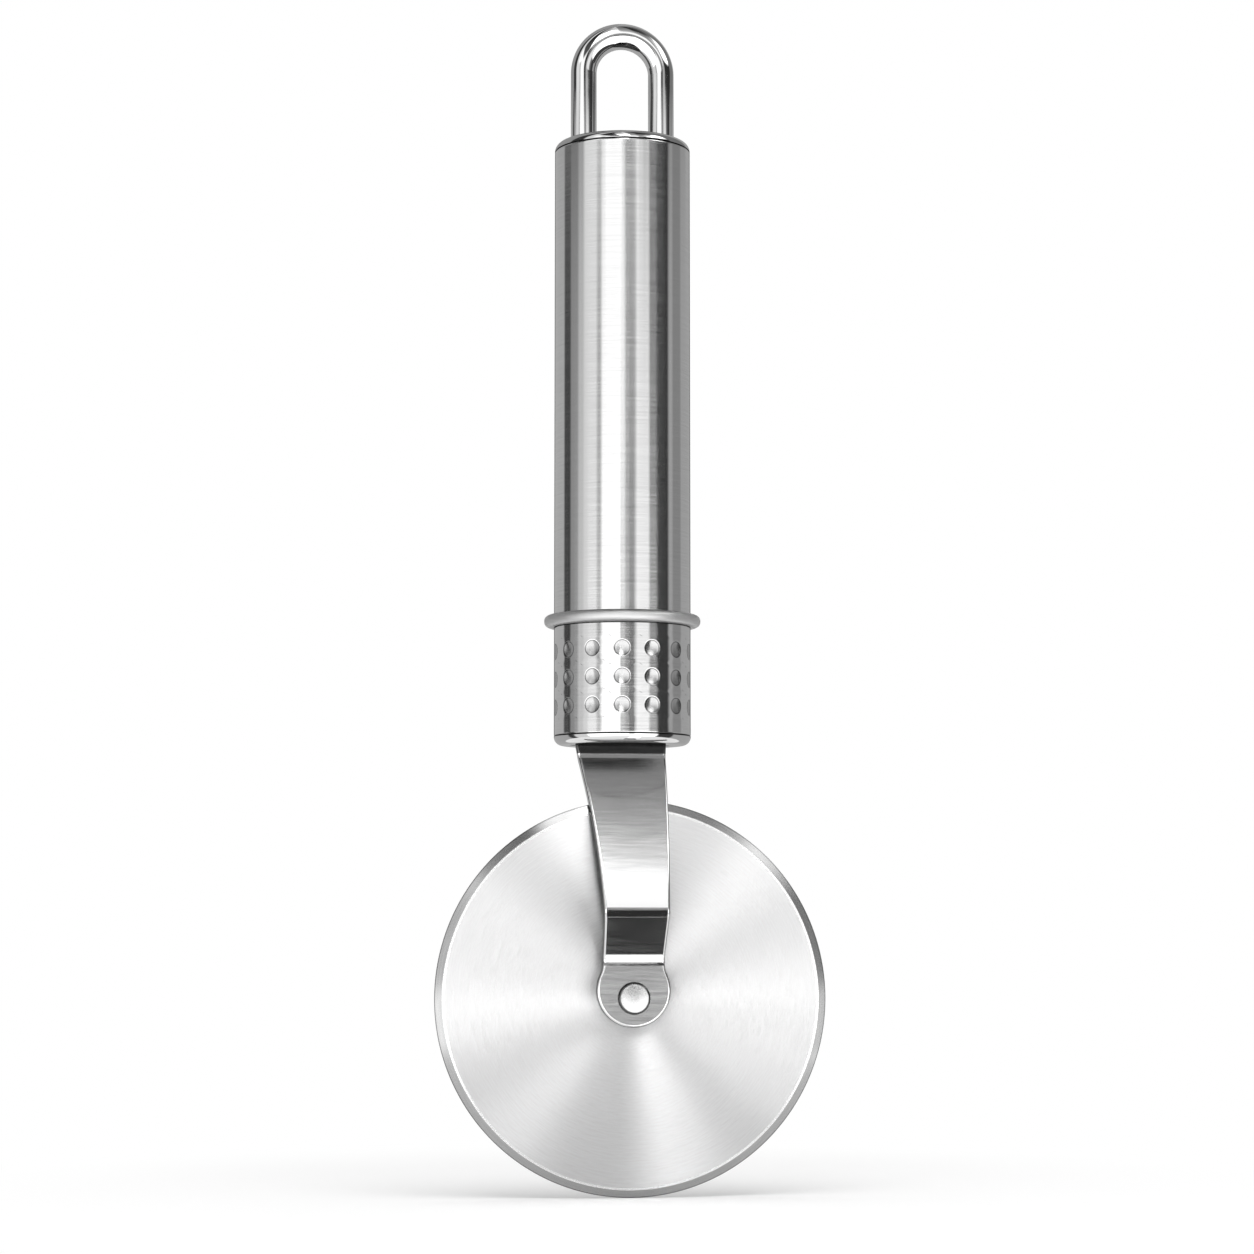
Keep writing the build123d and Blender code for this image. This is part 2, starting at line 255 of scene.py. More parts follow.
# Each entry is (name, angle round the mirrored point where it ends, brightness), from the right.
fan_cards = (
    ("dim card, low on the right", 17, 0.78),
    ("white card, right", 45, 3.6),
    ("half dark card", 56, 0.75),
    ("dark card, right", 75, 0.35),
    ("white card over the strap", 93.5, BRIGHT),
    ("whitest card, middle", 105, 7.0),
    ("white card, middle", 120.5, 4.0),
    ("dark card, left", 145, 0.08),
    ("white card, left", 180, 1.65),
)
FAN_START, FAN_FULL = 22.0, 28.0
FAN_LEFT, FAN_RIGHT, FAN_EDGE = -50.0, 82.0, 18.0
ROOF_START, ROOF_END, ROOF_SHARE = 38.0, 58.0, 0.1
# The fan's angles that the strap mirrors, and its light there as (height in degrees, share).
STRAP_FROM, STRAP_TO, STRAP_EDGE = 74.0, 94.0, 3.0
strap_shares = ((28, 1.0), (34, 0.57), (41, 0.365), (48, 0.30), (56, 0.235), (64, 0.20), (90, 0.17))
# Each entry is (name, bearings, heights, brightness).
single_cards = (
    ("dark card before the crest", (-3.0, 19.5), (2.1, 6.2), 0.05),
    ("grey card before the eye", (11.5, 20.5), (-5.0, 1.0), 0.30),
    ("white card over the crest", (11.0, 29.0), (17.5, 32.0), BRIGHT),
)
print("cards in the fan:", len(fan_cards), "single cards:", len(single_cards))

# %% [markdown]
# ## Painting the sky
#
# A row becomes a Color Ramp along the bearing, where two stops close together are a panel's soft
# edge. A ramp needs a place from 0 to 1, so bearing and height are worked out from the direction in
# which a ray leaves, turned by the camera's own turn.

# %% Ramps, bearing and height
PANEL_EDGE = 2.3


def grey_ramp(tree, place, stops):
    """A Color Ramp with grey stops of (position, level)."""
    node = put(tree, "ShaderNodeValToRGB", {0: place})
    elements = node.color_ramp.elements
    for element, (position, level) in zip(elements, (stops[0], stops[-1])):
        element.position = position
        element.color = (level, level, level, 1)
    for position, level in stops[1:-1]:
        elements.new(position).color = (level, level, level, 1)
    return node.outputs["Color"]


def panel_ramp(tree, place, rows, first=-180):
    """Brightness by a place from 0 to 1 along a row, where each edge is a short slope."""
    span = 180 - first
    stops = [(0.0, rows[0][2])]
    for (_, end, level), (_, _, next_level) in zip(rows, rows[1:]):
        stops.append(((end - PANEL_EDGE - first) / span, level))
        stops.append(((end + PANEL_EDGE - first) / span, next_level))
    return grey_ramp(tree, place, [*stops, (1.0, rows[-1][2])])


world = bpy.data.worlds.new("studio")
world.use_nodes = True
world.cycles.sampling_method = "NONE"
scene.world = world
sky = world.node_tree
sky.nodes.clear()
direction = put(sky, "ShaderNodeTexCoord").outputs["Generated"]
facing = put(
    sky, "ShaderNodeVectorRotate", {"Vector": direction, "Angle": CAMERA_TURN}, rotation_type="Z_AXIS"
).outputs[0]
parts = put(sky, "ShaderNodeSeparateXYZ", {0: facing})
ahead = calculate(sky, "MULTIPLY", parts.outputs["Y"], -1)
bearing = calculate(sky, "DEGREES", calculate(sky, "ARCTAN2", parts.outputs["X"], ahead))
height = calculate(sky, "DEGREES", calculate(sky, "ARCSINE", parts.outputs["Z"]))
print("nodes for bearing and height:", len(sky.nodes))

# %% [markdown]
# The three rows fade into each other where they meet. The fan comes over them, with its own angle in
# place of the bearing, and the single cards come last.

# %% Lay rows, fan and cards over each other
round_share = calculate(sky, "MULTIPLY_ADD", bearing, 1 / 360, 0.5)
low_row, wire_row, ground_row = (
    panel_ramp(sky, round_share, rows) for rows in (panels, wire_panels, ground_panels)
)
light = mix_values(sky, move_range(sky, height, *GROUND_TO_LOW), ground_row, low_row)
light = mix_values(sky, move_range(sky, height, *LOW_TO_WIRE), light, wire_row)

across = calculate(sky, "SUBTRACT", bearing, MIRRORED_BEARING)
upward = calculate(sky, "SUBTRACT", height, MIRRORED_HEIGHT)
fan_angle = calculate(sky, "DEGREES", calculate(sky, "ARCTAN2", upward, across))
fan_row = panel_ramp(sky, calculate(sky, "DIVIDE", fan_angle, 180), fan_cards, first=0)
strap_stops = [(degrees_up / 90, share) for degrees_up, share in strap_shares]
overhead = grey_ramp(sky, calculate(sky, "DIVIDE", height, 90), strap_stops)
over_strap = window(sky, fan_angle, STRAP_FROM, STRAP_TO, STRAP_EDGE)
roof = move_range(sky, height, ROOF_START, ROOF_END, 1.0, ROOF_SHARE)
fan_light = calculate(sky, "MULTIPLY", fan_row, mix_values(sky, over_strap, roof, overhead))
high_enough = move_range(sky, height, FAN_START, FAN_FULL)
in_fan = calculate(
    sky, "MULTIPLY", high_enough, window(sky, bearing, FAN_LEFT, FAN_RIGHT, FAN_EDGE)
)
light = mix_values(sky, in_fan, light, fan_light)
for _, bearings, heights, level in single_cards:
    on_card = calculate(
        sky, "MULTIPLY", window(sky, bearing, *bearings), window(sky, height, *heights)
    )
    light = mix_values(sky, on_card, light, level)
print("nodes in the painted studio:", len(sky.nodes))

# %% [markdown]
# Only reflections see the panels. The camera sees plain white, and the floor and everything matt are
# lit by an even white sky, so no stripe falls on them. What is mirrored twice, as between the cap and
# the strap under it, is dimmed, because in the photograph the strap grows dark there.

# %% Choose what each ray sees
SKY_LIGHT = 0.5
TWICE_MIRRORED = 0.17
dimming = mix_values(sky, ray_seen_twice(sky), 1.0, TWICE_MIRRORED)
studio_light = calculate(sky, "MULTIPLY", light, dimming)
rays = put(sky, "ShaderNodeLightPath").outputs
matt_or_studio = mix_values(sky, rays["Is Glossy Ray"], SKY_LIGHT, studio_light)
seen = calculate(sky, "MAXIMUM", rays["Is Camera Ray"], rays["Is Transmission Ray"])
strength = mix_values(sky, seen, matt_or_studio, 1.0)
background = put(sky, "ShaderNodeBackground", {"Color": (1, 1, 1, 1), "Strength": strength})
put(sky, "ShaderNodeOutputWorld", {"Surface": background.outputs[0]})
print("nodes in the sky:", len(sky.nodes))

# %% [markdown]
# ## The table
#
# The cutter stands on a white table that has no edge in the photograph: the white of the table goes
# over into the white behind it. The table is matt and takes the cutter's shadow, which lies close
# under the wheel. Further out it gives way to plain white, so that no horizon shows.
#
# Steel that looks down past the nearest part of the table sees the studio's cards, which stand on the
# table close round the cutter, so there the table lets reflections through.

# %% Lay the table
FLOOR_SIZE = 6.0
FADE_START, FADE_END = 70 * MM, 130 * MM
CARDS_START, CARDS_END = 120 * MM, 132 * MM
TABLE_WHITE = 0.985
SQUARE = ((-1, -1), (1, -1), (1, 1), (-1, 1))

floor_mesh = bpy.data.meshes.new("floor")
half_floor = FLOOR_SIZE / 2
floor_places = [(x * half_floor, y * half_floor, 0) for x, y in SQUARE]
floor_mesh.from_pydata(floor_places, [], [(0, 1, 2, 3)])
floor = bpy.data.objects.new("floor", floor_mesh)
scene.collection.objects.link(floor)
table = bpy.data.materials.new("white_table")
table.use_nodes = True
tree = table.node_tree
tree.nodes.clear()
place = put(tree, "ShaderNodeTexCoord").outputs["Object"]
from_middle = length_of(tree, place)
matt = put(tree, "ShaderNodeBsdfDiffuse", {"Color": (TABLE_WHITE, TABLE_WHITE, TABLE_WHITE, 1)})
white = put(tree, "ShaderNodeEmission", {"Strength": 1.0})
far = move_range(tree, from_middle, FADE_START, FADE_END)
floor_look = put(tree, "ShaderNodeMixShader", {0: far, 1: matt.outputs[0], 2: white.outputs[0]})
past_cards = move_range(tree, from_middle, CARDS_START, CARDS_END)
away = calculate(tree, "MAXIMUM", past_cards, ray_seen_twice(tree))
mirrored = put(tree, "ShaderNodeLightPath").outputs["Is Glossy Ray"]
let_through = calculate(tree, "MULTIPLY", away, mirrored)
clear = put(tree, "ShaderNodeBsdfTransparent").outputs[0]
surface = put(tree, "ShaderNodeMixShader", {0: let_through, 1: floor_look.outputs[0], 2: clear})
put(tree, "ShaderNodeOutputMaterial", {"Surface": surface.outputs[0]})
table.cycles.emission_sampling = "NONE"
floor_mesh.materials.append(table)
print("table", FLOOR_SIZE, "m wide")

# %% [markdown]
# ## The lamp and the cards close by
#
# A softbox overhead makes the shadow, and the white sky fills it. Reflections leave the softbox out,
# because the painted studio stands for it there. Three cards lie or hang close to the cutter, nearer
# than a sky can be, so that one spot mirrors them and the rest hardly does: a black one that the
# strap's step mirrors, a black one for the bend over it, and a white one on the table that brightens
# the lower half of the wheel. Only reflections see them.

# %% Hang the softbox and lay the cards
SOFTBOX_PLACE = Vector((0, -0.15, 0.76))
SOFTBOX_SIZE = 0.8
SOFTBOX_POWER = 4.35
softbox_data = bpy.data.lights.new("softbox", "AREA")
softbox_data.shape = "SQUARE"
softbox_data.size = SOFTBOX_SIZE
softbox_data.energy = SOFTBOX_POWER
softbox = bpy.data.objects.new("softbox", softbox_data)
softbox.location = SOFTBOX_PLACE
softbox.rotation_euler = SOFTBOX_PLACE.to_track_quat("Z", "Y").to_euler()
softbox.visible_glossy = False
softbox.visible_camera = False
scene.collection.objects.link(softbox)

# Each entry is (name, corners in millimetres, brightness, brightness where it is mirrored twice).
close_cards = (
    ("white_card_on_table", ((2, -48, 1), (28, -48, 1), (52, -118, 1), (17, -118, 1)), 2.6, 0.36),
    ("card_under_step", ((-2, -19, 2), (16, -19, 2), (16, -38, 2), (-2, -38, 2)), 0.03, 0.03),
    (
        "card_before_bend",
        ((-6, -14, 40.6), (6, -14, 40.6), (6, -14, 46.8), (-6, -14, 46.8)),
        0.03,
        0.03,
    ),
)
for card_name, corners, level, level_twice in close_cards:
    paper = bpy.data.materials.new(card_name)
    paper.use_nodes = True
    tree = paper.node_tree
    tree.nodes.clear()
    strength = mix_values(tree, ray_seen_twice(tree), level, level_twice)
    glow = put(tree, "ShaderNodeEmission", {"Strength": strength})
    put(tree, "ShaderNodeOutputMaterial", {"Surface": glow.outputs[0]})
    paper.cycles.emission_sampling = "NONE"
    card_mesh = bpy.data.meshes.new(card_name)
    card_places = [[place * MM for place in corner] for corner in corners]
    card_mesh.from_pydata(card_places, [], [(0, 1, 2, 3)])
    card_mesh.materials.append(paper)
    card = bpy.data.objects.new(card_name, card_mesh)
    for seen_by in ("camera", "diffuse", "shadow", "transmission", "volume_scatter"):
        setattr(card, "visible_" + seen_by, False)
    scene.collection.objects.link(card)
print("softbox", SOFTBOX_SIZE, "m wide, cards close by:", len(close_cards))

# %% [markdown]
# ## Brush marks
#
# Brushing leaves fine parallel scratches. They smear a reflection across themselves and leave it
# sharp along themselves, which Blender calls anisotropy. The Tangent node gives the direction round
# an axis, a quarter turn of rotation lays the smear across it, and a noise that is long along the
# scratches and very fine across them gives single marks: a little lighter or darker, a little
# rougher, a little raised. Every pattern reads its piece's own coordinates, so it moves with it.


# %% Tools for steel
NOISE_LOW, NOISE_HIGH = 0.3, 0.7
QUARTER_TURN = 0.25
finishes = {}


def new_finish(name):
    """Start a finish, and give its node tree and its shader's sockets."""
    finishes[name] = bpy.data.materials.new(name)
    finishes[name].use_nodes = True
    return opened(name)


def opened(name):
    """A finish's node tree and its shader's sockets."""
    tree = finishes[name].node_tree
    return tree, tree.nodes["Principled BSDF"].inputs


def steel(name, base, roughness, smear=0.0, axis="Z"):
    """Bare steel. With a smear it is brushed in circles round the axis."""
    tree, inputs = new_finish(name)
    inputs["Metallic"].default_value = 1.0
    inputs["Base Color"].default_value = (base, base, base, 1)
    inputs["Roughness"].default_value = roughness
    if smear:
        inputs["Anisotropic"].default_value = smear
        inputs["Anisotropic Rotation"].default_value = QUARTER_TURN
        tangent = put(tree, "ShaderNodeTangent", direction_type="RADIAL", axis=axis)
        tree.links.new(tangent.outputs[0], inputs["Tangent"])
    return tree, inputs


def object_vector(tree, scale, location=(0, 0, 0)):
    """Object coordinates, moved and scaled."""
    place = put(tree, "ShaderNodeTexCoord").outputs["Object"]
    sockets = {"Vector": place, "Scale": scale, "Location": location}
    return put(tree, "ShaderNodeMapping", sockets).outputs[0]


def object_part(tree, part):
    """One of the Object coordinates."""
    place = put(tree, "ShaderNodeTexCoord").outputs["Object"]
    return put(tree, "ShaderNodeSeparateXYZ", {0: place}).outputs[part]


def spread(tree, noise, low, high):
    """Spread the middle of a noise over a range."""
    return move_range(tree, noise, NOISE_LOW, NOISE_HIGH, low, high, smooth=False)


def add_grain(tree, inputs, noise_sockets, low, high, bump, depth):
    """A noise that changes the grey level and the height. Its output is given back."""
    noise = put(tree, "ShaderNodeTexNoise", noise_sockets).outputs["Fac"]
    level = spread(tree, noise, low, high)
    colour = put(tree, "ShaderNodeCombineColor", {0: level, 1: level, 2: level})
    tree.links.new(colour.outputs[0], inputs["Base Color"])
    raised = put(tree, "ShaderNodeBump", {"Strength": bump, "Distance": depth, "Height": noise})
    tree.links.new(raised.outputs[0], inputs["Normal"])
    return noise


def add_marks(tree, inputs, vector, base, roughness, tone, rough_share, bump, depth):
    """Brush marks from a noise over the given vector: tone, height and roughness."""
    noise_sockets = {"Vector": vector, "Scale": 1.0, "Detail": 3.0, "Roughness": 0.6}
    marks = add_grain(tree, inputs, noise_sockets, base - tone, base + tone, bump, depth * MM)
    least, most = roughness * (1 - rough_share), roughness * (1 + rough_share)
    tree.links.new(spread(tree, marks, least, most), inputs["Roughness"])


print("tools for steel ready")

# %% [markdown]
# ## The kinds of steel
#
# The tube is brushed round its girth, which makes its stripes streaky, and the sleeve is brushed the
# same way but finer. The wire was drawn through a die and has faint lines along it. The caps are
# polished, the ring is blasted to a satin, the strap is rolled and has its grain across, and the
# rivet was tumbled smooth. What lies inside the handle is plain mill steel and grey plastic with a
# fine spark-eroded grain.

# %% Make the finishes
# Each row is (name, grey level, roughness, scale of the marks, smear), then of the marks their tone,
# their share of the roughness, their bump, and its depth in millimetres.
steels = (
    ("brushed_tube_steel", 0.80, 0.115, (120, 120, 5200), 1.0, 0.04, 0.15, 0.1, 0.004),
    ("polished_sleeve_steel", 0.80, 0.09, (150, 150, 5600), 1.0, 0.03, 0.2, 0.05, 0.004),
    ("polished_wire_steel", 0.82, 0.05, (1600, 1600, 500), 0.0, 0.02, 0.4, 0.02, 0.002),
    ("polished_steel", 0.76, 0.07, (600, 600, 2400), 0.0, 0.02, 0.4, 0.03, 0.002),
    ("satin_strap_steel", 0.82, 0.13, (150, 3000, 3000), 0.0, 0.012, 0.2, 0.02, 0.004),
    ("satin_ring_steel", 0.62, 0.5, (5000, 5000, 5000), 0.0, 0.02, 0.15, 0.12, 0.004),
    ("tumbled_rivet_steel", 0.68, 0.26, (1800, 1800, 1800), 0.0, 0.02, 0.15, 0.02, 0.004),
    ("plain_steel", 0.62, 0.38, (900, 900, 1800), 0.0, 0.05, 0.25, 0.15, 0.004),
)
for finish, base, roughness, scale, smear, *marks in steels:
    tree, inputs = steel(finish, base, roughness, smear)
    add_marks(tree, inputs, object_vector(tree, scale), base, roughness, *marks)

tree, inputs = new_finish("moulded_plastic")
inputs["Roughness"].default_value = 0.55
grain_sockets = {"Vector": object_vector(tree, (1, 1, 1)), "Scale": 2600.0, "Detail": 4.0}
add_grain(tree, inputs, grain_sockets, 0.10, 0.14, 0.3, 0.02 * MM)
print("finishes:", sorted(finishes))

# %% [markdown]
# ## Painted shade in seams and dimples
#
# Where two pieces of the handle meet, painted shade takes the colour dark at the heights of the
# seams. The dimples are rougher inside, and painted shade makes them darker, with a painted dark line
# at the rim where the steel bends. Close to the cap the strap mirrors the dark of the slot, and
# painted shade takes its colour dark there too.


# %% Tools that change a finish in places
BAND_EDGE = 0.04 * MM
# The near black that painted shade takes the colour to.
PAINTED_SHADE_BLACK = 0.03


def retone(tree, inputs, share, level=PAINTED_SHADE_BLACK):
    """Paint the colour to a grey level where share is 1: painted shade in a seam, a painted highlight
    on a line.
    """
    socket = inputs["Base Color"]
    sockets = {0: share, 6: socket.links[0].from_socket, 7: (level, level, level, 1)}
    tree.links.new(put(tree, "ShaderNodeMix", sockets, data_type="RGBA").outputs[2], socket)


def polish(tree, inputs, share, roughness):
    """Take the roughness to a fixed one where share is 1."""
    socket = inputs["Roughness"]
    tree.links.new(mix_values(tree, share, socket.links[0].from_socket, roughness), socket)


def near_height(tree, *bands):
    """One within any of the bands (low, high) of heights, and nothing elsewhere."""
    z = object_part(tree, "Z")
    share = 0.0
    for low, high in bands:
        above = move_range(tree, z, low - BAND_EDGE, low)
        below = move_range(tree, z, high, high + BAND_EDGE, 1.0, 0.0)
        share = calculate(tree, "MAXIMUM", share, calculate(tree, "MULTIPLY", above, below))
    return share


print("tools for seams ready")

# %% [markdown]
# A seam is a band of heights, and the boxes of the pieces tell where it lies. A dimple is known by
# its depth: what lies nearer to the handle's axis than the sleeve's surface is inside one.

# %% Paint shade into seams, dimples and the strap's root
SEAM = 0.09 * MM
bottom_seam = (sleeve_low.z - SEAM, sleeve_low.z + SEAM)
top_seam = (tube_high.z - SEAM, tube_high.z + SEAM)
under_ring = (ring_low.z - 1.5 * SEAM, ring_low.z + SEAM)
above_ring = (ring_high.z - SEAM, ring_high.z + SEAM)
# Painted shade: a thin band at each seam's height goes near black and stands in for the shade in the
# gap between two pieces.
for finish, bands in (
    ("brushed_tube_steel", (above_ring, top_seam)),
    ("polished_sleeve_steel", (bottom_seam, under_ring)),
    ("polished_steel", (bottom_seam, top_seam)),
):
    tree, inputs = opened(finish)
    retone(tree, inputs, near_height(tree, *bands))

# Depths under the sleeve's surface where a dimple's painted darker bowl and the painted dark line at
# its rim start and end.
BOWL_START, BOWL_FULL = 0.01 * MM, 0.06 * MM
RIM_START, RIM_END, RIM_EDGE = 0.012 * MM, 0.075 * MM, 0.01 * MM
BOWL_PAINTED_SHADE, BOWL_ROUGHNESS, RIM_PAINTED_SHADE = 0.33, 0.24, 0.75
tree, inputs = opened("polished_sleeve_steel")
reach = length_of(tree, object_vector(tree, (1, 1, 0), (-handle_x, 0, 0)))
sunk = move_range(tree, reach, tube_radius - BOWL_FULL, tube_radius - BOWL_START, 1.0, 0.0)
on_rim = window(tree, reach, tube_radius - RIM_END, tube_radius - RIM_START, RIM_EDGE)
# Painted shade: the bowl's colour goes darker, and a dark line is painted where the steel bends at
# its rim.
painted_bowl_shade = calculate(tree, "MULTIPLY", sunk, BOWL_PAINTED_SHADE)
painted_rim_shade = calculate(tree, "MULTIPLY", on_rim, RIM_PAINTED_SHADE)
retone(tree, inputs, calculate(tree, "MAXIMUM", painted_bowl_shade, painted_rim_shade))
polish(tree, inputs, sunk, BOWL_ROUGHNESS)

CAP_RIM = 1.5 * MM
ROOT_DARK, ROOT_PAINTED_SHADE = 1.35 * MM, 0.9
handle_bottom = sleeve_low.z - CAP_RIM
# Painted shade: just under the cap the strap's colour goes near black, standing in for the dark of
# the slot that it mirrors.
tree, inputs = opened("satin_strap_steel")
near_cap = near_height(tree, (handle_bottom - ROOT_DARK, sleeve_low.z))
retone(tree, inputs, calculate(tree, "MULTIPLY", near_cap, ROOT_PAINTED_SHADE))
print("dark lines at the seams:", 2 * SEAM / MM, "mm high")

# %% [markdown]
# ## The wheel's steel
#
# The wheel is brushed in circles, so its marks are long round the axle and fine across the radius.
# The bevel is ground, which its roughness gives, and painted shade makes its grey darker. Painted
# shade makes the cutting edge darker still, and just inside the bevel a polished line runs round,
# which a painted highlight makes white. A ring of painted shade runs round the rivet's button.

# %% Brush the wheel in circles
BEVEL_WIDTH, BEVEL_PAINTED_SHADE, BEVEL_ROUGHNESS = 1.25 * MM, 0.55, 0.24
CUTTING_EDGE, EDGE_PAINTED_SHADE = 0.22 * MM, 0.85
LINE_WIDTH, LINE_SOFTNESS = 0.36 * MM, 0.06 * MM
MARKS_ROUND, MARKS_ACROSS = 9.0, 4200
BUTTON_SHADE_START, BUTTON_SHADE_WIDTH, BUTTON_PAINTED_SHADE = 2.2 * MM, 0.15 * MM, 0.85
flat_radius = wheel_radius - BEVEL_WIDTH
line_start = flat_radius - LINE_WIDTH
square_to_axle = ((1, 0, 1), (-axle.x, 0, -axle.z))

WHEEL_GREY, WHEEL_ROUGHNESS = 0.92, 0.45
tree, inputs = steel("circular_brushed_steel", WHEEL_GREY, WHEEL_ROUGHNESS, 1.0, "Y")
from_axle = object_vector(tree, *square_to_axle)
radius = length_of(tree, from_axle)
heading = calculate_vector(tree, "NORMALIZE", from_axle)
round_axle = calculate_vector(tree, "MULTIPLY", heading, (MARKS_ROUND,) * 3)
fine_radius = calculate(tree, "MULTIPLY", radius, MARKS_ACROSS)
outward = put(tree, "ShaderNodeCombineXYZ", {1: fine_radius}).outputs[0]
vector = calculate_vector(tree, "ADD", round_axle, outward)
add_marks(tree, inputs, vector, WHEEL_GREY, WHEEL_ROUGHNESS, 0.06, 0.15, 0.1, 0.004)
# Painted shade: the bevel's grey and the cutting edge are painted darker.
on_bevel = calculate(tree, "GREATER_THAN", radius, flat_radius)
on_edge = move_range(tree, radius, wheel_radius - CUTTING_EDGE, wheel_radius - CUTTING_EDGE / 2)
painted_bevel_shade = calculate(tree, "MULTIPLY", on_bevel, BEVEL_PAINTED_SHADE)
painted_edge_shade = calculate(tree, "MULTIPLY", on_edge, EDGE_PAINTED_SHADE)
retone(tree, inputs, calculate(tree, "MAXIMUM", painted_bevel_shade, painted_edge_shade))
# A painted highlight: just inside the bevel the colour goes to white.
retone(tree, inputs, window(tree, radius, line_start, flat_radius, LINE_SOFTNESS), 1.0)
polish(tree, inputs, calculate(tree, "GREATER_THAN", radius, line_start), BEVEL_ROUGHNESS)

# Painted shade: a dark ring is painted into the colour round the rivet's button.
tree, inputs = opened("tumbled_rivet_steel")
radius = length_of(tree, object_vector(tree, *square_to_axle))
on_button = calculate(tree, "LESS_THAN", object_part(tree, "Y"), axle.y)
shade_ring_end = BUTTON_SHADE_START + BUTTON_SHADE_WIDTH
seam = move_range(tree, radius, BUTTON_SHADE_START, shade_ring_end, 0.0, BUTTON_PAINTED_SHADE)
retone(tree, inputs, calculate(tree, "MULTIPLY", seam, on_button))
print(f"the flat of the wheel ends at {flat_radius / MM:.2f} mm")

# %% [markdown]
# ## Tools for meshes
#
# Most pieces were turned on a lathe or pressed to a round shape. An outline is a list of corners,
# each with its rounding, and polished steel shows every flaw in how it is shaded. So each rounding
# gets a point on the flat close beside it, which keeps the bend in the shading off the flat.


# %% Outline and mesh helpers
SUPPORT = 0.03 * MM
WELD = 0.01 * MM


def rounded(corners, steps=8):
    """Points along an outline whose corners are (x, y) or (x, y, rounding)."""
    points = []
    for index, (x, y, *rounding) in enumerate(corners):
        corner = Vector((x, y))
        if not rounding:
            points.append(corner)
            continue
        before = (Vector(corners[index - 1][:2]) - corner).normalized()
        after = (Vector(corners[(index + 1) % len(corners)][:2]) - corner).normalized()
        half = before.angle(after) / 2
        reach = rounding[0] / tan(half)
        centre = corner + (before + after).normalized() * rounding[0] / sin(half)
        spoke = corner + before * reach - centre
        sweep = spoke.angle_signed(corner + after * reach - centre)
        points.append(corner + before * (reach + SUPPORT))
        for step in range(steps + 1):
            points.append(centre + Matrix.Rotation(-sweep * step / steps, 2) @ spoke)
        points.append(corner + after * (reach + SUPPORT))
    return points


def settled(mesh, finish, place=None, sharp=30, merge=0.0):
    """Put a mesh in its place, point its faces outwards and keep edges over this angle crisp."""
    if place:
        mesh.transform(place)
    work = bmesh.new()
    work.from_mesh(mesh)
    if merge:
        bmesh.ops.remove_doubles(work, verts=work.verts, dist=merge)
    bmesh.ops.recalc_face_normals(work, faces=work.faces)
    work.to_mesh(mesh)
    work.free()
    mesh.materials.clear()
    mesh.materials.append(finishes[finish])
    mesh.shade_smooth()
    mesh.set_sharp_from_angle(angle=radians(sharp))
    return mesh


def hang_on(name, node, mesh, finish, body="handle", **options):
    """Make the piece that stands for a node and rides on its body."""
    piece = bpy.data.objects.new(name, settled(mesh, finish, **options))
    scene.collection.objects.link(piece)
    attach(piece, body)
    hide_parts(node)
    print(name, "faces:", len(mesh.polygons))


print("mesh helpers ready")

# %% [markdown]
# ## Tools for Geometry Nodes
#
# What repeats on the cutter comes out of Geometry Nodes trees. A seed goes in, such as an outline or
# one tile, the tree turns, sweeps or repeats it, and the mesh is taken out as plain faces.


# %% Tree helpers
def evaluated_mesh(piece, *helpers):
    """The piece's mesh with its modifiers applied. The piece and its helpers are then removed."""
    ready = piece.evaluated_get(bpy.context.evaluated_depsgraph_get())
    mesh = bpy.data.meshes.new_from_object(ready)
    for used in (piece, *helpers):
        bpy.data.objects.remove(used)
    return mesh


def grown(tree, mesh, **values):
    """Run a Geometry Nodes tree on a mesh. Inputs are named with underscores for spaces."""
    seed = bpy.data.objects.new("seed", mesh)
    scene.collection.objects.link(seed)
    modifier = seed.modifiers.new("tree", "NODES")
    modifier.node_group = tree
    items = tree.interface.items_tree
    keys = {item.name: item.identifier for item in items if item.in_out == "INPUT"}
    for name, value in values.items():
        modifier[keys[name.replace("_", " ")]] = value
    return evaluated_mesh(seed)


def new_tree(name, **inputs):
    """An empty Geometry Nodes tree with named inputs, with its input and its output node."""
    tree = bpy.data.node_groups.new(name, "GeometryNodeTree")
    tree.interface.new_socket("Geometry", in_out="INPUT", socket_type="NodeSocketGeometry")
    for title, kind in inputs.items():
        socket_type = "NodeSocket" + kind
        tree.interface.new_socket(title.replace("_", " "), in_out="INPUT", socket_type=socket_type)
    tree.interface.new_socket("Geometry", in_out="OUTPUT", socket_type="NodeSocketGeometry")
    return tree, put(tree, "NodeGroupInput").outputs, put(tree, "NodeGroupOutput").inputs[0]


def end_tree(tree, geometry, finish, exit_socket):
    """Close a tree: real geometry instead of instances, with its finish."""
    real = put(tree, "GeometryNodeRealizeInstances", {0: geometry}).outputs[0]
    dressed = put(tree, "GeometryNodeSetMaterial", {"Geometry": real, "Material": finish})
    tree.links.new(dressed.outputs[0], exit_socket)


print("tree helpers ready")

# %% [markdown]
# ## A lathe in Geometry Nodes
#
# Blender's Screw modifier could turn the outlines too. The tree does it with Curve to Mesh, which
# sweeps the outline along a tiny circle, and closes the pole by merging what meets on the axis.

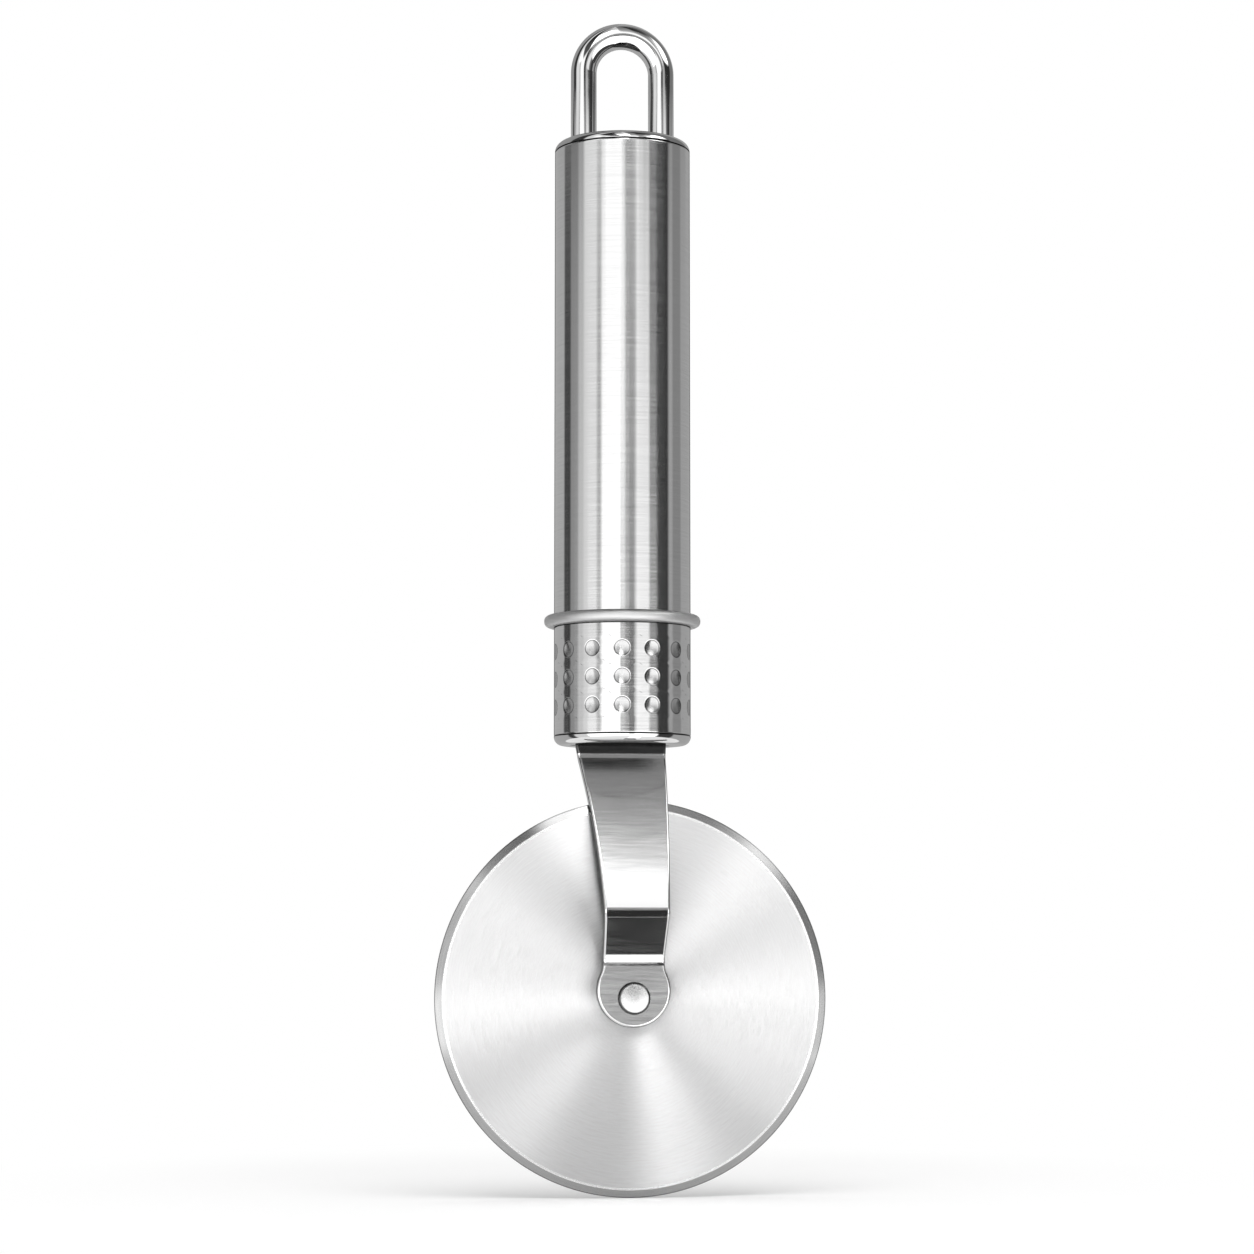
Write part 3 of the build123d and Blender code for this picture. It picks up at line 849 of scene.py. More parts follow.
# %% Build the turning tree
TINY_RADIUS = 0.001 * MM
ROUND_SIDES = 192
turning, given, turned_out = new_tree("turning", Sides="Int", Finish="Material")
outline_curve = put(turning, "GeometryNodeMeshToCurve", {0: given["Geometry"]}).outputs[0]
circle_sockets = {"Resolution": given["Sides"], "Radius": TINY_RADIUS}
tiny_circle = put(turning, "GeometryNodeCurvePrimitiveCircle", circle_sockets).outputs[0]
upright = put(turning, "GeometryNodeSetCurveNormal", {"Curve": tiny_circle}, mode="Z_UP").outputs[0]
sweep_sockets = {"Curve": upright, "Profile Curve": outline_curve}
swept = put(turning, "GeometryNodeCurveToMesh", sweep_sockets).outputs[0]
weld_sockets = {"Geometry": swept, "Distance": WELD}
closed_pole = put(turning, "GeometryNodeMergeByDistance", weld_sockets).outputs[0]
end_tree(turning, closed_pole, given["Finish"], turned_out)


def turned(corners, sides, finish, closed=True, steps=8):
    """A mesh turned round Z from an outline of (radius, height, rounding)."""
    points = rounded(corners, steps)
    edges = [(i, i + 1) for i in range(len(points) - 1)]
    if closed:
        edges.append((len(points) - 1, 0))
    outline = bpy.data.meshes.new("outline")
    outline.from_pydata([(radius, -height, 0) for radius, height in points], edges, [])
    return grown(turning, outline, Sides=sides, Finish=finishes[finish])


def turn_piece(
    name, node, corners, finish, place, body="handle", sides=ROUND_SIDES, sharp=30, **options
):
    """Turn a piece and hang it on its body in its place."""
    mesh = turned(corners, sides, finish, **options)
    hang_on(name, node, mesh, finish, body, place=place, sharp=sharp)


on_handle = Matrix.Translation((handle_x, 0, 0))
on_axle = Matrix.Translation(axle) @ Matrix.Rotation(pi / 2, 4, "X")
print("nodes in the turning tree:", len(turning.nodes))

# %% [markdown]
# ## The cutting wheel and its rivet
#
# The wheel is a flat disc, ground on both sides to a bevel. The corner where the bevel starts is
# never quite sharp, and it shows as a thin bright line all round, so it gets a small rounding, and
# the wheel's steel adds a painted highlight just inside it. The rivet's front end was hammered into a
# flat button over the strap's eye, and its head is behind.

# %% Turn the wheel and the rivet
WHEEL_SIDES = 288
WHEEL_SHARP = 15
WHEEL_BORE = 3.5 * MM
EDGE_LAND = 0.12 * MM
BEVEL_CORNER = 0.5 * MM
wheel_outline = [
    (WHEEL_BORE, -half_wheel),
    (flat_radius, -half_wheel, BEVEL_CORNER),
    (wheel_radius, -EDGE_LAND / 2),
    (wheel_radius, EDGE_LAND / 2),
    (flat_radius, half_wheel, BEVEL_CORNER),
    (WHEEL_BORE, half_wheel),
]
turn_piece(
    "turned_wheel",
    "cutting_wheel",
    wheel_outline,
    "circular_brushed_steel",
    on_axle,
    body="wheel",
    sides=WHEEL_SIDES,
    sharp=WHEEL_SHARP,
    steps=4,
)

rivet_low, rivet_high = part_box("axle_rivet")
AXLE_RADIUS = 2.25 * MM
RIVET_TAIL_RADIUS = 1.75 * MM
RIVET_BUTTON = (2.65 * MM, 0.9 * MM, 0.42 * MM)
RIVET_HEAD = (4.7 * MM, 1.3 * MM, 0.8 * MM)
HUB_FRONT = 1.1 * MM
DOME_RISE = 0.12 * MM
DOME_STEPS = 12
RIVET_SIDES = 96
button_front = axle.y - rivet_low.y
head_back = axle.y - rivet_high.y
button_radius, button_height, button_rounding = RIVET_BUTTON
head_radius, head_height, head_rounding = RIVET_HEAD
dome_reach = button_radius - button_rounding
dome_sides = [1 - step / DOME_STEPS for step in range(1, DOME_STEPS)]
rivet_outline = [
    (0, head_back),
    (head_radius, head_back, head_rounding),
    (head_radius, head_back + head_height),
    (AXLE_RADIUS, head_back + head_height),
    (AXLE_RADIUS, HUB_FRONT),
    (RIVET_TAIL_RADIUS, HUB_FRONT),
    (RIVET_TAIL_RADIUS, button_front - button_height),
    (button_radius, button_front - button_height),
    (button_radius, button_front - DOME_RISE, button_rounding),
    *[(dome_reach * share, button_front - DOME_RISE * share**2) for share in dome_sides],
    (0, button_front),
]
turn_piece(
    "hammered_rivet",
    "axle_rivet",
    rivet_outline,
    "tumbled_rivet_steel",
    on_axle,
    sides=RIVET_SIDES,
    closed=False,
)

# %% [markdown]
# ## The handle's tube, ring and caps
#
# The tube is cut from drawn pipe and its lips are rounded over. The ring is turned from thicker
# stock, and a web on its inside sits between tube and sleeve. Where two pieces meet, the rounded lips
# leave a groove, and painted shade in the finishes makes it the dark seam.

# %% Turn the tube and the ring
WALL = 0.8 * MM
LIP_ROUNDING = 0.25 * MM
SNUG_FIT = 0.02 * MM
FINE_STEPS = 12
bore_radius = tube_radius - WALL

tube_outline = [
    (bore_radius, tube_low.z),
    (tube_radius, tube_low.z, LIP_ROUNDING),
    (tube_radius, tube_high.z, LIP_ROUNDING),
    (bore_radius, tube_high.z),
]
turn_piece("handle_barrel", "handle_tube", tube_outline, "brushed_tube_steel", on_handle)

RING_PROUD = 1.65 * MM
ring_outer = tube_radius + RING_PROUD
RING_LAND = 0.15 * MM
ring_rounding = (ring_high.z - ring_low.z - RING_LAND) / 2
ring_outline = [
    (bore_radius, sleeve_high.z),
    (tube_radius + SNUG_FIT, sleeve_high.z),
    (tube_radius + SNUG_FIT, ring_low.z),
    (ring_outer, ring_low.z, ring_rounding),
    (ring_outer, ring_high.z, ring_rounding),
    (tube_radius + SNUG_FIT, ring_high.z),
    (tube_radius + SNUG_FIT, tube_low.z),
    (bore_radius, tube_low.z),
]
turn_piece(
    "turned_ring", "grip_ring", ring_outline, "satin_ring_steel", on_handle, steps=FINE_STEPS
)

# %% [markdown]
# The caps are pressed with a full round rim. The one above has two holes punched for the wire's legs,
# and the one below has a slot for the strap. Straight blocks stand for the punches.


# %% Turn and punch the caps
def cut(mesh, *cutters):
    """Cut other meshes out of a mesh."""
    piece = bpy.data.objects.new("piece", mesh)
    scene.collection.objects.link(piece)
    helpers = []
    for cutter in cutters:
        helper = bpy.data.objects.new("cutter", cutter)
        scene.collection.objects.link(helper)
        helpers.append(helper)
        modifier = piece.modifiers.new("cut", "BOOLEAN")
        modifier.operation = "DIFFERENCE"
        modifier.solver = "EXACT"
        modifier.object = helper
    return evaluated_mesh(piece, *helpers)


def prism(points, low, high):
    """A straight block over a closed outline, from one height to another."""
    mesh = bpy.data.meshes.new("prism")
    count = len(points)
    places = [(x, y, z) for z in (low, high) for x, y in points]
    sides = [(i, (i + 1) % count, (i + 1) % count + count, i + count) for i in range(count)]
    ends = [tuple(reversed(range(count))), tuple(range(count, 2 * count))]
    mesh.from_pydata(places, [], sides + ends)
    return mesh


def circle(x, y, radius, steps=64):
    """Points round a circle."""
    turns = [2 * pi * step / steps for step in range(steps)]
    return [(x + radius * cos(turn), y + radius * sin(turn)) for turn in turns]


CAP_LAND = 0.1 * MM
CAP_SKIRT = 3.5 * MM
CAP_SKIRT_WALL = 1.0 * MM
skirt_radius = bore_radius - SNUG_FIT
skirt_inner = skirt_radius - CAP_SKIRT_WALL


def turned_cap(seam, outward):
    """An end cap without its holes. Outward is 1 for the cap above and -1 for the one below."""
    rim = seam + outward * CAP_RIM
    skirt = seam - outward * CAP_SKIRT
    corners = [
        (0, rim),
        (tube_radius, rim, CAP_RIM - CAP_LAND),
        (tube_radius, seam),
        (skirt_radius, seam),
        (skirt_radius, skirt),
        (skirt_inner, skirt),
        (skirt_inner, seam),
        (0, seam),
    ]
    cap_mesh = turned(corners, ROUND_SIDES, "polished_steel", closed=False, steps=FINE_STEPS)
    cap_mesh.transform(on_handle)
    return cap_mesh


loop_low, loop_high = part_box("hanging_loop")
WIRE_RADIUS = 2.175 * MM
LEG_HOLE_RADIUS = 2.225 * MM
UPSET_REACH = 2.675 * MM
leg_reach = (loop_high.x - loop_low.x) / 2 - UPSET_REACH
leg_cutters = []
for x in (handle_x - leg_reach, handle_x + leg_reach):
    hole = circle(x, 0, LEG_HOLE_RADIUS)
    leg_cutters.append(prism(hole, tube_high.z - CAP_RIM, tube_high.z + 2 * CAP_RIM))
top_cap_mesh = cut(turned_cap(tube_high.z, 1), *leg_cutters)
hang_on("cap_above", "top_cap", top_cap_mesh, "polished_steel")

SLOT_LENGTH = 16.7 * MM
SLOT_WIDTH = 1.9 * MM
# A little under half the width, so that two roundings of one end don't meet in a point.
SLOT_ROUNDING = SLOT_WIDTH * 0.499
ARM_ROOT_SIDEWAYS = 0.4 * MM
slot_middle = handle_x - ARM_ROOT_SIDEWAYS
slot_corners = [
    (slot_middle + x * SLOT_LENGTH / 2, y * SLOT_WIDTH / 2, SLOT_ROUNDING) for x, y in SQUARE
]
slot_cutter = prism(rounded(slot_corners), sleeve_low.z - 2 * CAP_RIM, sleeve_low.z + CAP_RIM)
bottom_cap_mesh = cut(turned_cap(sleeve_low.z, -1), slot_cutter)
hang_on("cap_below", "bottom_cap", bottom_cap_mesh, "polished_steel")

# %% [markdown]
# ## The dimpled sleeve
#
# The dimples were pressed into the sleeve by a ball, fourteen round and three high. One flat tile
# with a dimple in its middle is made ring by ring, so that the dimple's rim is a clean circle.
# Geometry Nodes lay the tiles out as a sheet and wrap the sheet round the handle's axis, and the
# sleeve's plain ends are turned with the same number of sides, so that the two join.

# %% Make one tile with a dimple
COLUMNS = 14
ROWS = 3
ROW_HEIGHT = 4.65 * MM
DIMPLE_RADIUS = 1.375 * MM
DIMPLE_DEPTH = 0.3 * MM
DIMPLE_RIM = 0.42 * MM
TILE_STEPS = 12
BOWL_RINGS, RIM_RINGS = 7, 6
HALF_WAY_OUT = 0.45
column_width = 2 * pi * tube_radius / COLUMNS
ball_radius = (DIMPLE_RADIUS**2 + DIMPLE_DEPTH**2) / (2 * DIMPLE_DEPTH)
ball_height = ball_radius - DIMPLE_DEPTH
rim_reach = sqrt((ball_radius + DIMPLE_RIM) ** 2 - (ball_height + DIMPLE_RIM) ** 2)
bowl_reach = rim_reach * ball_radius / (ball_radius + DIMPLE_RIM)
rim_sweep = asin(rim_reach / (ball_radius + DIMPLE_RIM))


def dimple_rings():
    """Rings of the tile from its middle outwards, as (radius, height)."""
    rings = []
    for step in range(1, BOWL_RINGS + 1):
        reach = bowl_reach * step / BOWL_RINGS
        rings.append((reach, ball_height - sqrt(ball_radius**2 - reach**2)))
    for step in range(1, RIM_RINGS + 1):
        lean = rim_sweep * (1 - step / RIM_RINGS)
        rings.append((rim_reach - DIMPLE_RIM * sin(lean), DIMPLE_RIM * (cos(lean) - 1)))
    rings.append((rim_reach + SUPPORT, 0))
    return rings


def tile_border():
    """Points round the tile's border, as many as the rings have, from the lower right corner."""
    points = []
    for x, y, run_x, run_y in ((1, -1, 0, 1), (1, 1, -1, 0), (-1, 1, 0, -1), (-1, -1, 1, 0)):
        for step in range(TILE_STEPS):
            share = 2 * step / TILE_STEPS
            x_share, y_share = x + run_x * share, y + run_y * share
            points.append(Vector((x_share * column_width / 2, y_share * ROW_HEIGHT / 2, 0)))
    return points


border = tile_border()
spokes = len(border)
places = [Vector((0, 0, ball_height - ball_radius))]
for reach, drop in dimple_rings():
    for spoke in range(spokes):
        turn = 2 * pi * spoke / spokes - pi / 4
        places.append(Vector((reach * cos(turn), reach * sin(turn), drop)))
last_ring = places[-spokes:]
for share in (HALF_WAY_OUT, 1.0):
    places += [inner.lerp(outer, share) for inner, outer in zip(last_ring, border)]
faces = [(0, 1 + spoke, 1 + (spoke + 1) % spokes) for spoke in range(spokes)]
for start in range(1, len(places) - spokes, spokes):
    for spoke in range(spokes):
        after = (spoke + 1) % spokes
        faces.append((start + spoke, start + spokes + spoke, start + spokes + after, start + after))
tile = bpy.data.meshes.new("tile")
tile.from_pydata(places, [], faces)
print("faces in a tile:", len(faces))

# %% [markdown]
# The sheet has one point for each dimple, and a tile is set on each point. Wrapping turns the place
# along the sheet into a turn round the axis, and the height over the sheet into a reach from it.

# %% Lay out the tiles and wrap them round the handle
wrapping, given, wrapped_out = new_tree(
    "dimple_rows",
    Columns="Int",
    Rows="Int",
    Column_Width="Float",
    Row_Height="Float",
    Radius="Float",
    Turn="Float",
    Middle="Vector",
    Finish="Material",
)
sheet_sockets = {"Vertices X": given["Columns"], "Vertices Y": given["Rows"]}
for size, spacing, count in (
    ("Size X", "Column Width", "Columns"),
    ("Size Y", "Row Height", "Rows"),
):
    gaps = calculate(wrapping, "SUBTRACT", given[count], 1)
    sheet_sockets[size] = calculate(wrapping, "MULTIPLY", given[spacing], gaps)
sheet = put(wrapping, "GeometryNodeMeshGrid", sheet_sockets).outputs[0]
tile_sockets = {"Points": sheet, "Instance": given["Geometry"]}
tiles = put(wrapping, "GeometryNodeInstanceOnPoints", tile_sockets).outputs[0]
tiles = put(wrapping, "GeometryNodeRealizeInstances", {0: tiles}).outputs[0]
position = put(wrapping, "GeometryNodeInputPosition").outputs[0]
flat_place = put(wrapping, "ShaderNodeSeparateXYZ", {0: position}).outputs
turn_share = calculate(wrapping, "DIVIDE", flat_place["X"], given["Radius"])
wrap_turn = calculate(wrapping, "ADD", turn_share, given["Turn"])
wrap_reach = calculate(wrapping, "ADD", given["Radius"], flat_place["Z"])
wrap_sockets = {2: flat_place["Y"]}
for socket, operation in ((0, "COSINE"), (1, "SINE")):
    share = calculate(wrapping, operation, wrap_turn)
    wrap_sockets[socket] = calculate(wrapping, "MULTIPLY", wrap_reach, share)
wrapped = put(wrapping, "ShaderNodeCombineXYZ", wrap_sockets).outputs[0]
wrapped = calculate_vector(wrapping, "ADD", wrapped, given["Middle"])
place_sockets = {"Geometry": tiles, "Position": wrapped}
tiles = put(wrapping, "GeometryNodeSetPosition", place_sockets).outputs[0]
end_tree(wrapping, tiles, given["Finish"], wrapped_out)
print("nodes in the wrapping tree:", len(wrapping.nodes))

# %% [markdown]
# The sheet covers the sleeve's middle. Its plain ends and its bore are turned, and the two meshes are
# joined along the sheet's edges, so that the sleeve is one closed piece.

# %% Join the sleeve's dimples and its plain ends
# A dimple lies this far round from straight ahead, and the sheet's middle lies between two columns.
DIMPLE_TURN = radians(-8)
SLEEVE_SHARP = 40
column_turn = 2 * pi / COLUMNS
sheet_turn = -pi / 2 + DIMPLE_TURN + column_turn / 2
sleeve_middle = (sleeve_low.z + sleeve_high.z) / 2
dimple_mesh = grown(
    wrapping,
    tile,
    Columns=COLUMNS,
    Rows=ROWS,
    Column_Width=column_width,
    Row_Height=ROW_HEIGHT,
    Radius=tube_radius,
    Turn=sheet_turn,
    Middle=(0, 0, sleeve_middle),
    Finish=finishes["polished_sleeve_steel"],
)
half_sheet = ROWS * ROW_HEIGHT / 2
plain_outline = [
    (tube_radius, sleeve_middle + half_sheet),
    (tube_radius, sleeve_high.z, LIP_ROUNDING),
    (bore_radius, sleeve_high.z),
    (bore_radius, sleeve_low.z),
    (tube_radius, sleeve_low.z, LIP_ROUNDING),
    (tube_radius, sleeve_middle - half_sheet),
]
plain_mesh = turned(plain_outline, COLUMNS * TILE_STEPS, "polished_sleeve_steel", closed=False)
plain_mesh.transform(Matrix.Rotation(sheet_turn, 4, "Z"))
joined = bmesh.new()
joined.from_mesh(dimple_mesh)
joined.from_mesh(plain_mesh)
joined.to_mesh(dimple_mesh)
joined.free()
hang_on(
    "pressed_sleeve",
    "dimpled_sleeve",
    dimple_mesh,
    "polished_sleeve_steel",
    place=on_handle,
    sharp=SLEEVE_SHARP,
    merge=WELD,
)

# %% [markdown]
# ## The hanging loop
#
# The loop is one round wire, bent to a U and upset under the cap, so that its legs can't pull out. A
# tree sweeps a circle along the wire's path, and an attribute on the path's points says how thick
# the wire is there.

# %% Sweep the wire
sweeping, given, swept_out = new_tree("wire", Radius="Float", Sides="Int", Finish="Material")
path_curve = put(sweeping, "GeometryNodeMeshToCurve", {0: given["Geometry"]}).outputs[0]
section_sockets = {"Resolution": given["Sides"], "Radius": given["Radius"]}
wire_section = put(sweeping, "GeometryNodeCurvePrimitiveCircle", section_sockets).outputs[0]
thickness = put(
    sweeping, "GeometryNodeInputNamedAttribute", {"Name": "thickness"}, data_type="FLOAT"
).outputs["Attribute"]
wire_sockets = {
    "Curve": path_curve,
    "Profile Curve": wire_section,
    "Scale": thickness,
    "Fill Caps": True,
}
wire_surface = put(sweeping, "GeometryNodeCurveToMesh", wire_sockets).outputs[0]
end_tree(sweeping, wire_surface, given["Finish"], swept_out)

UPSET_HEIGHT = 0.8 * MM
LEG_STEPS = 4
BEND_STEPS = 72
WIRE_SIDES = 64
spring_line = loop_high.z - WIRE_RADIUS - leg_reach
upset_top = loop_low.z + UPSET_HEIGHT
leg_heights = [(loop_low.z, UPSET_REACH), (upset_top - SUPPORT, UPSET_REACH)]
for step in range(LEG_STEPS):
    leg_heights.append((upset_top + (spring_line - upset_top) * step / LEG_STEPS, WIRE_RADIUS))
wire_path = [(-leg_reach, z, thick) for z, thick in leg_heights]
for step in range(BEND_STEPS + 1):
    turn = pi - pi * step / BEND_STEPS
    wire_path.append((leg_reach * cos(turn), spring_line + leg_reach * sin(turn), WIRE_RADIUS))
wire_path += [(leg_reach, z, thick) for z, thick in reversed(leg_heights)]
path_mesh = bpy.data.meshes.new("path")
path_edges = [(i, i + 1) for i in range(len(wire_path) - 1)]
path_mesh.from_pydata([(handle_x + x, 0, z) for x, z, _ in wire_path], path_edges, [])
path_mesh.attributes.new("thickness", "FLOAT", "POINT")
thick_shares = [thick / WIRE_RADIUS for _, _, thick in wire_path]
path_mesh.attributes["thickness"].data.foreach_set("value", thick_shares)
loop_mesh = grown(
    sweeping,
    path_mesh,
    Radius=WIRE_RADIUS,
    Sides=WIRE_SIDES,
    Finish=finishes["polished_wire_steel"],
)
hang_on("bent_wire", "hanging_loop", loop_mesh, "polished_wire_steel")

# %% [markdown]
# ## The arm
#
# The arm is cut from strap as a flat blank and then bent. The mesh is made the same way: first the
# blank's outline, which is two long curved sides that run through small roundings into a round eye,
# then rings inside it that round the edges over, and last the bends. Places on the outline are
# given in the front view, and the side view tells how far forward the strap lies at each height.
#
# The side view is a line of straight runs and bends. From the tang it goes down to the cap, leans
# forward in a long bow that clears the wheel's edge, steps back behind its crest, and ends in the
# flat foot with the eye.

# %% The strap's side view
STRAP = 1.5 * MM
EDGE_ROUNDING = 0.4 * MM
ROOT_DROP = 1.5 * MM
ROOT_BEND = 2.0 * MM
BOW_HEIGHT = 24.4 * MM
TOP_LEAN = radians(33)
BOTTOM_LEAN = radians(10.5)
CREST_BEND = 1.7 * MM
STEP_LEAN = radians(34)
FOOT_BEND = 4.0 * MM
EYE_RADIUS = 6.1 * MM
eye_height = arm_low.z + EYE_RADIUS
eye_forward = -(rivet_low.y + button_height + STRAP / 2)
bow_radius = BOW_HEIGHT / (sin(TOP_LEAN) - sin(BOTTOM_LEAN))


def strap_path():
    """The strap's middle line from the tang down, in runs of (start, lean, length, turning)."""
    runs = []
    spot = Vector((0, arm_high.z))
    lean = 0.0

    def run(length, turn=0.0):
        nonlocal spot, lean
        rate = turn / length if turn else 0.0
        runs.append((spot.copy(), lean, length, rate))
        spot, lean = along(runs[-1], length)

    run(arm_high.z - handle_bottom + ROOT_DROP)
    run(ROOT_BEND * TOP_LEAN, turn=TOP_LEAN)
    run(bow_radius * (TOP_LEAN - BOTTOM_LEAN), turn=BOTTOM_LEAN - TOP_LEAN)
    run(CREST_BEND * (BOTTOM_LEAN + STEP_LEAN), turn=-BOTTOM_LEAN - STEP_LEAN)
    foot_forward = eye_forward + FOOT_BEND * (1 - cos(STEP_LEAN))
    run((spot.x - foot_forward) / sin(STEP_LEAN))
    run(FOOT_BEND * STEP_LEAN, turn=STEP_LEAN)
    run(spot.y - arm_low.z)
    return runs


def along(run, distance):
    """Place (forward, height) and lean after some distance along a run."""
    start, lean, _, rate = run
    if rate == 0:
        return start + distance * Vector((sin(lean), -cos(lean))), lean
    end = lean + rate * distance
    return start + Vector((cos(lean) - cos(end), sin(lean) - sin(end))) / rate, end


strap_runs = strap_path()


def on_strap(distance):
    """Place and lean at a distance along the whole strap."""
    for run in strap_runs:
        if distance <= run[2] or run is strap_runs[-1]:
            return along(run, distance)
        distance -= run[2]


def distance_at(height):
    """Distance along the strap at which its middle line is at this height."""
    passed = 0.0
    for run in strap_runs:
        if height >= along(run, run[2])[0].y or run is strap_runs[-1]:
            break
        passed += run[2]
    start, lean, _, rate = run
    if rate == 0:
        return passed + (start.y - height) / cos(lean)
    return passed + (asin(sin(lean) + rate * (start.y - height)) - lean) / rate


print(f"strap length {sum(run[2] for run in strap_runs) / MM:.1f} mm")

# %% [markdown]
# In the front view each long side is an arc through the shoulder, the waist and the neck. A small
# rounding joins it to the eye. The rows of points lie closer together in the bends, where polished
# steel would show a coarse mesh.

# %% The strap's front view
WAIST_MIDDLE = -0.3 * MM
HALF_WAIST = 5.85 * MM
HALF_NECK = 5.0 * MM
NECK_ROUNDING = 5.0 * MM
TANG_SHOULDER = 1.25 * MM
TANG_CORNER = 1.5 * MM
NECK_STEPS = 10
EYE_STEPS = 48
STEPS_IN_RUN = (1, 12, 40, 20, 8, 16)
foot_end = along(strap_runs[-2], strap_runs[-2][2])[0].y


def circle_through(first, second, third):
    """Centre and radius of the circle through three points."""
    a, b = second - first, third - first
    twice = 2 * (a.x * b.y - a.y * b.x)
    x = (b.y * a.length_squared - a.y * b.length_squared) / twice
    y = (a.x * b.length_squared - b.x * a.length_squared) / twice
    return first + Vector((x, y)), hypot(x, y)


def row_heights():
    """Heights of the rows across the strap from its shoulder to the flat foot."""
    shoulder = distance_at(sleeve_low.z)
    rows, passed = [], 0.0
    for run, steps in zip(strap_runs, STEPS_IN_RUN):
        distances = [passed + run[2] * step / steps for step in range(steps)]
        if run[3] == 0:
            distances += [passed + SUPPORT, passed + run[2] - SUPPORT]
        rows += [on_strap(distance)[0].y for distance in sorted(distances) if distance > shoulder]
        passed += run[2]
    return [sleeve_low.z, *rows, foot_end, foot_end - SUPPORT]


def side_points(side, root_reach, waist_reach):
    """One side of the strap, as (x, height) from the shoulder to the eye's lowest point."""
    eye = Vector((0, eye_height))
    root = Vector((root_reach, sleeve_low.z))
    waist = Vector((waist_reach, (sleeve_low.z + eye_height) / 2))
    centre, radius = circle_through(root, waist, Vector((HALF_NECK, eye_height)))
    reach, inner = EYE_RADIUS + NECK_ROUNDING, radius - NECK_ROUNDING
    span = (centre - eye).length
    onward = (reach**2 - inner**2 + span**2) / (2 * span)
    toward = (centre - eye) / span
    neck = eye + toward * onward + Vector((-toward.y, toward.x)) * sqrt(reach**2 - onward**2)
    points = [Vector((centre.x - sqrt(radius**2 - (z - centre.y) ** 2), z)) for z in row_heights()]
    first_turn = atan2(neck.y - centre.y, neck.x - centre.x) % (2 * pi)
    last_turn = atan2(eye.y - neck.y, eye.x - neck.x) % (2 * pi)
    for step in range(NECK_STEPS + 1):
        turn = first_turn + (last_turn - first_turn) * step / NECK_STEPS
        points.append(neck + NECK_ROUNDING * Vector((cos(turn), sin(turn))))
    neck_turn = atan2(neck.y - eye.y, neck.x - eye.x)
    for step in range(1, EYE_STEPS + 1):
        turn = neck_turn - (neck_turn + pi / 2) * step / EYE_STEPS
        points.append(eye + EYE_RADIUS * Vector((cos(turn), sin(turn))))
    return [Vector((side * point.x, point.y)) for point in points]


print("rows across the strap:", len(row_heights()))

# %% [markdown]
# Rings of points run round the blank's outline, over its rounded edge from the front face to the
# back one. Rows across close the two faces, which stay smooth in the bends that way. Each point is
# carried to its place on the bent strap.


# %% Round the blank's edges and bend it
def blank_outline():
    """The blank's closed outline as (x, distance along the strap), and a side's number of points."""
    left = side_points(-1, -arm_low.x, HALF_WAIST - WAIST_MIDDLE)
    right = side_points(1, arm_high.x, HALF_WAIST + WAIST_MIDDLE)
    shoulder, top = sleeve_low.z, arm_high.z
    half_tang = (arm_high.x - arm_low.x) / 2 - TANG_SHOULDER
    tang_corners = [
        (arm_high.x, shoulder),
        (handle_x + half_tang, shoulder),
        (handle_x + half_tang, top, TANG_CORNER),
        (handle_x - half_tang, top, TANG_CORNER),
        (handle_x - half_tang, shoulder),
        (arm_low.x, shoulder),
    ]
    front_view = left + right[-2::-1] + rounded(tang_corners)[1:-1]
    return [Vector((x, distance_at(z))) for x, z in front_view], len(left)


def edge_profile(steps=6):
    """(inset, lift) from the strap's front face over its rounded edge to its back face."""
    front = [(EDGE_ROUNDING + SUPPORT, STRAP / 2)]
    for step in range(steps + 1):
        turn = pi / 2 * step / steps
        front.append((EDGE_ROUNDING * (1 - sin(turn)), STRAP / 2 - EDGE_ROUNDING * (1 - cos(turn))))
    front.append((0, STRAP / 2 - EDGE_ROUNDING - SUPPORT))
    return front + [(inset, -lift) for inset, lift in reversed(front)]


def bent(x, distance, lift):
    """Place on the bent strap of a point of the blank."""
    place, lean = on_strap(distance)
    return Vector((x, -place.x - cos(lean) * lift, place.y + sin(lean) * lift))


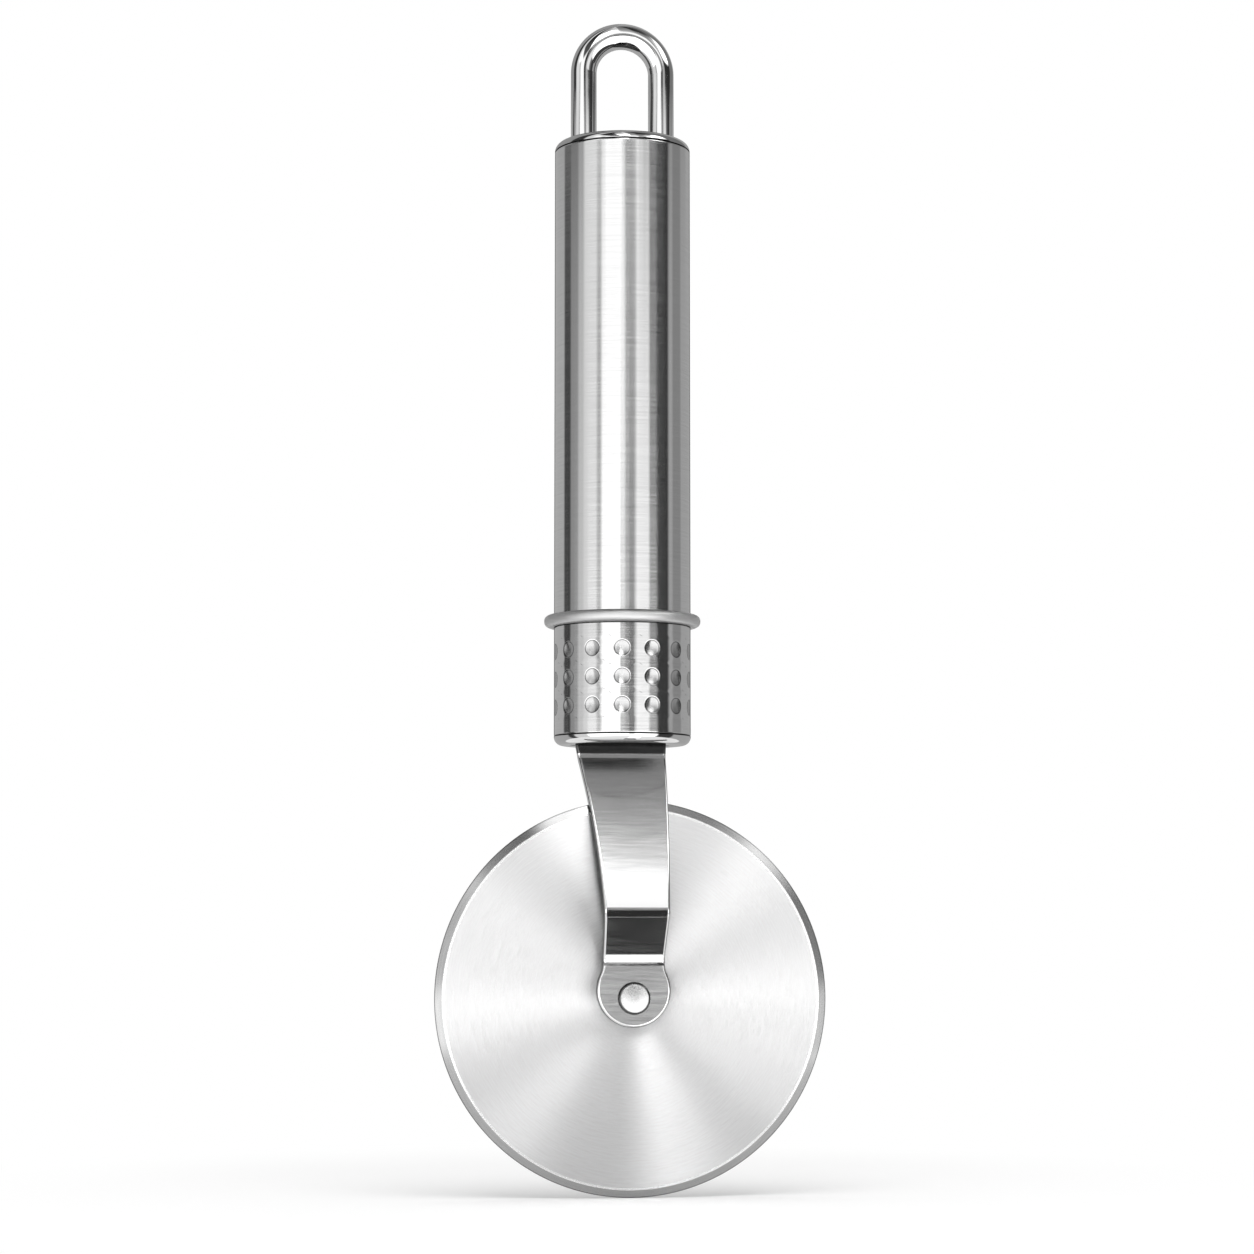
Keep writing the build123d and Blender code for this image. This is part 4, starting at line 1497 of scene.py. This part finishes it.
def strap_mesh():
    """The bent strap: rings over its edges, rows across it, and one face each for tang and eye."""
    outline, side_count = blank_outline()
    count = len(outline)
    outward = []
    for index, point in enumerate(outline):
        coming = (point - outline[index - 1]).normalized()
        going = (outline[(index + 1) % count] - point).normalized()
        travel = (coming + going).normalized()
        outward.append(Vector((-travel.y, travel.x)))
    places, faces = [], []
    profile = edge_profile()
    for inset, lift in profile:
        for point, away in zip(outline, outward):
            spot = point - away * inset
            places.append(bent(spot.x, spot.y, lift))
    for ring in range(len(profile) - 1):
        for index in range(count):
            after = (index + 1) % count
            faces.append([ring * count + k for k in (index, after, after + count, index + count)])
    rows = len(row_heights())
    across = [2 * side_count - 2 - row for row in range(rows)]
    fills = [[row, row + 1, across[row + 1], across[row]] for row in range(rows - 1)]
    fills.append([*range(across[0], count), 0])
    fills.append(list(range(rows - 1, across[-1] + 1)))
    for start in (0, (len(profile) - 1) * count):
        faces += [[start + index for index in fill] for fill in fills]
    mesh = bpy.data.meshes.new("strap")
    mesh.from_pydata(places, [], faces)
    return mesh


print("points round the blank:", len(blank_outline()[0]))

# %% [markdown]
# The holes come last, as they do in the workshop: one in the eye for the rivet, and two in the tang
# for the pins that hold it between the plastic halves.

# %% Drill the strap
PIN_HOLE_RADIUS = 1.52 * MM
EYE_HOLE_RADIUS = 1.77 * MM
pins_low, pins_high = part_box("tang_pins")
to_front_view = Matrix.Rotation(pi / 2, 4, "X")
cutters = []
for x, z, radius in (
    (0, axle.z, EYE_HOLE_RADIUS),
    (handle_x, pins_low.z + PIN_HOLE_RADIUS, PIN_HOLE_RADIUS),
    (handle_x, pins_high.z - PIN_HOLE_RADIUS, PIN_HOLE_RADIUS),
):
    cutter = prism(circle(x, z, radius), -tube_radius, tube_radius)
    cutter.transform(to_front_view)
    cutters.append(cutter)
arm_mesh = cut(settled(strap_mesh(), "satin_strap_steel"), *cutters)
hang_on("bent_strap", "arm", arm_mesh, "satin_strap_steel")

# %% [markdown]
# ## What stays as the frame has it
#
# The bush, the washers, the loop's keeper plate and what holds the tang inside the handle are plain
# shapes, and most of them can't be seen. They stay, and take their finish from the record's list of
# material slots.

# %% Dress the nodes that stay
for node_name, node in nodes.items():
    node.data.materials.clear()
    node.data.materials.append(finishes[slot_of[node_name]])
print("slots:", slot_of)
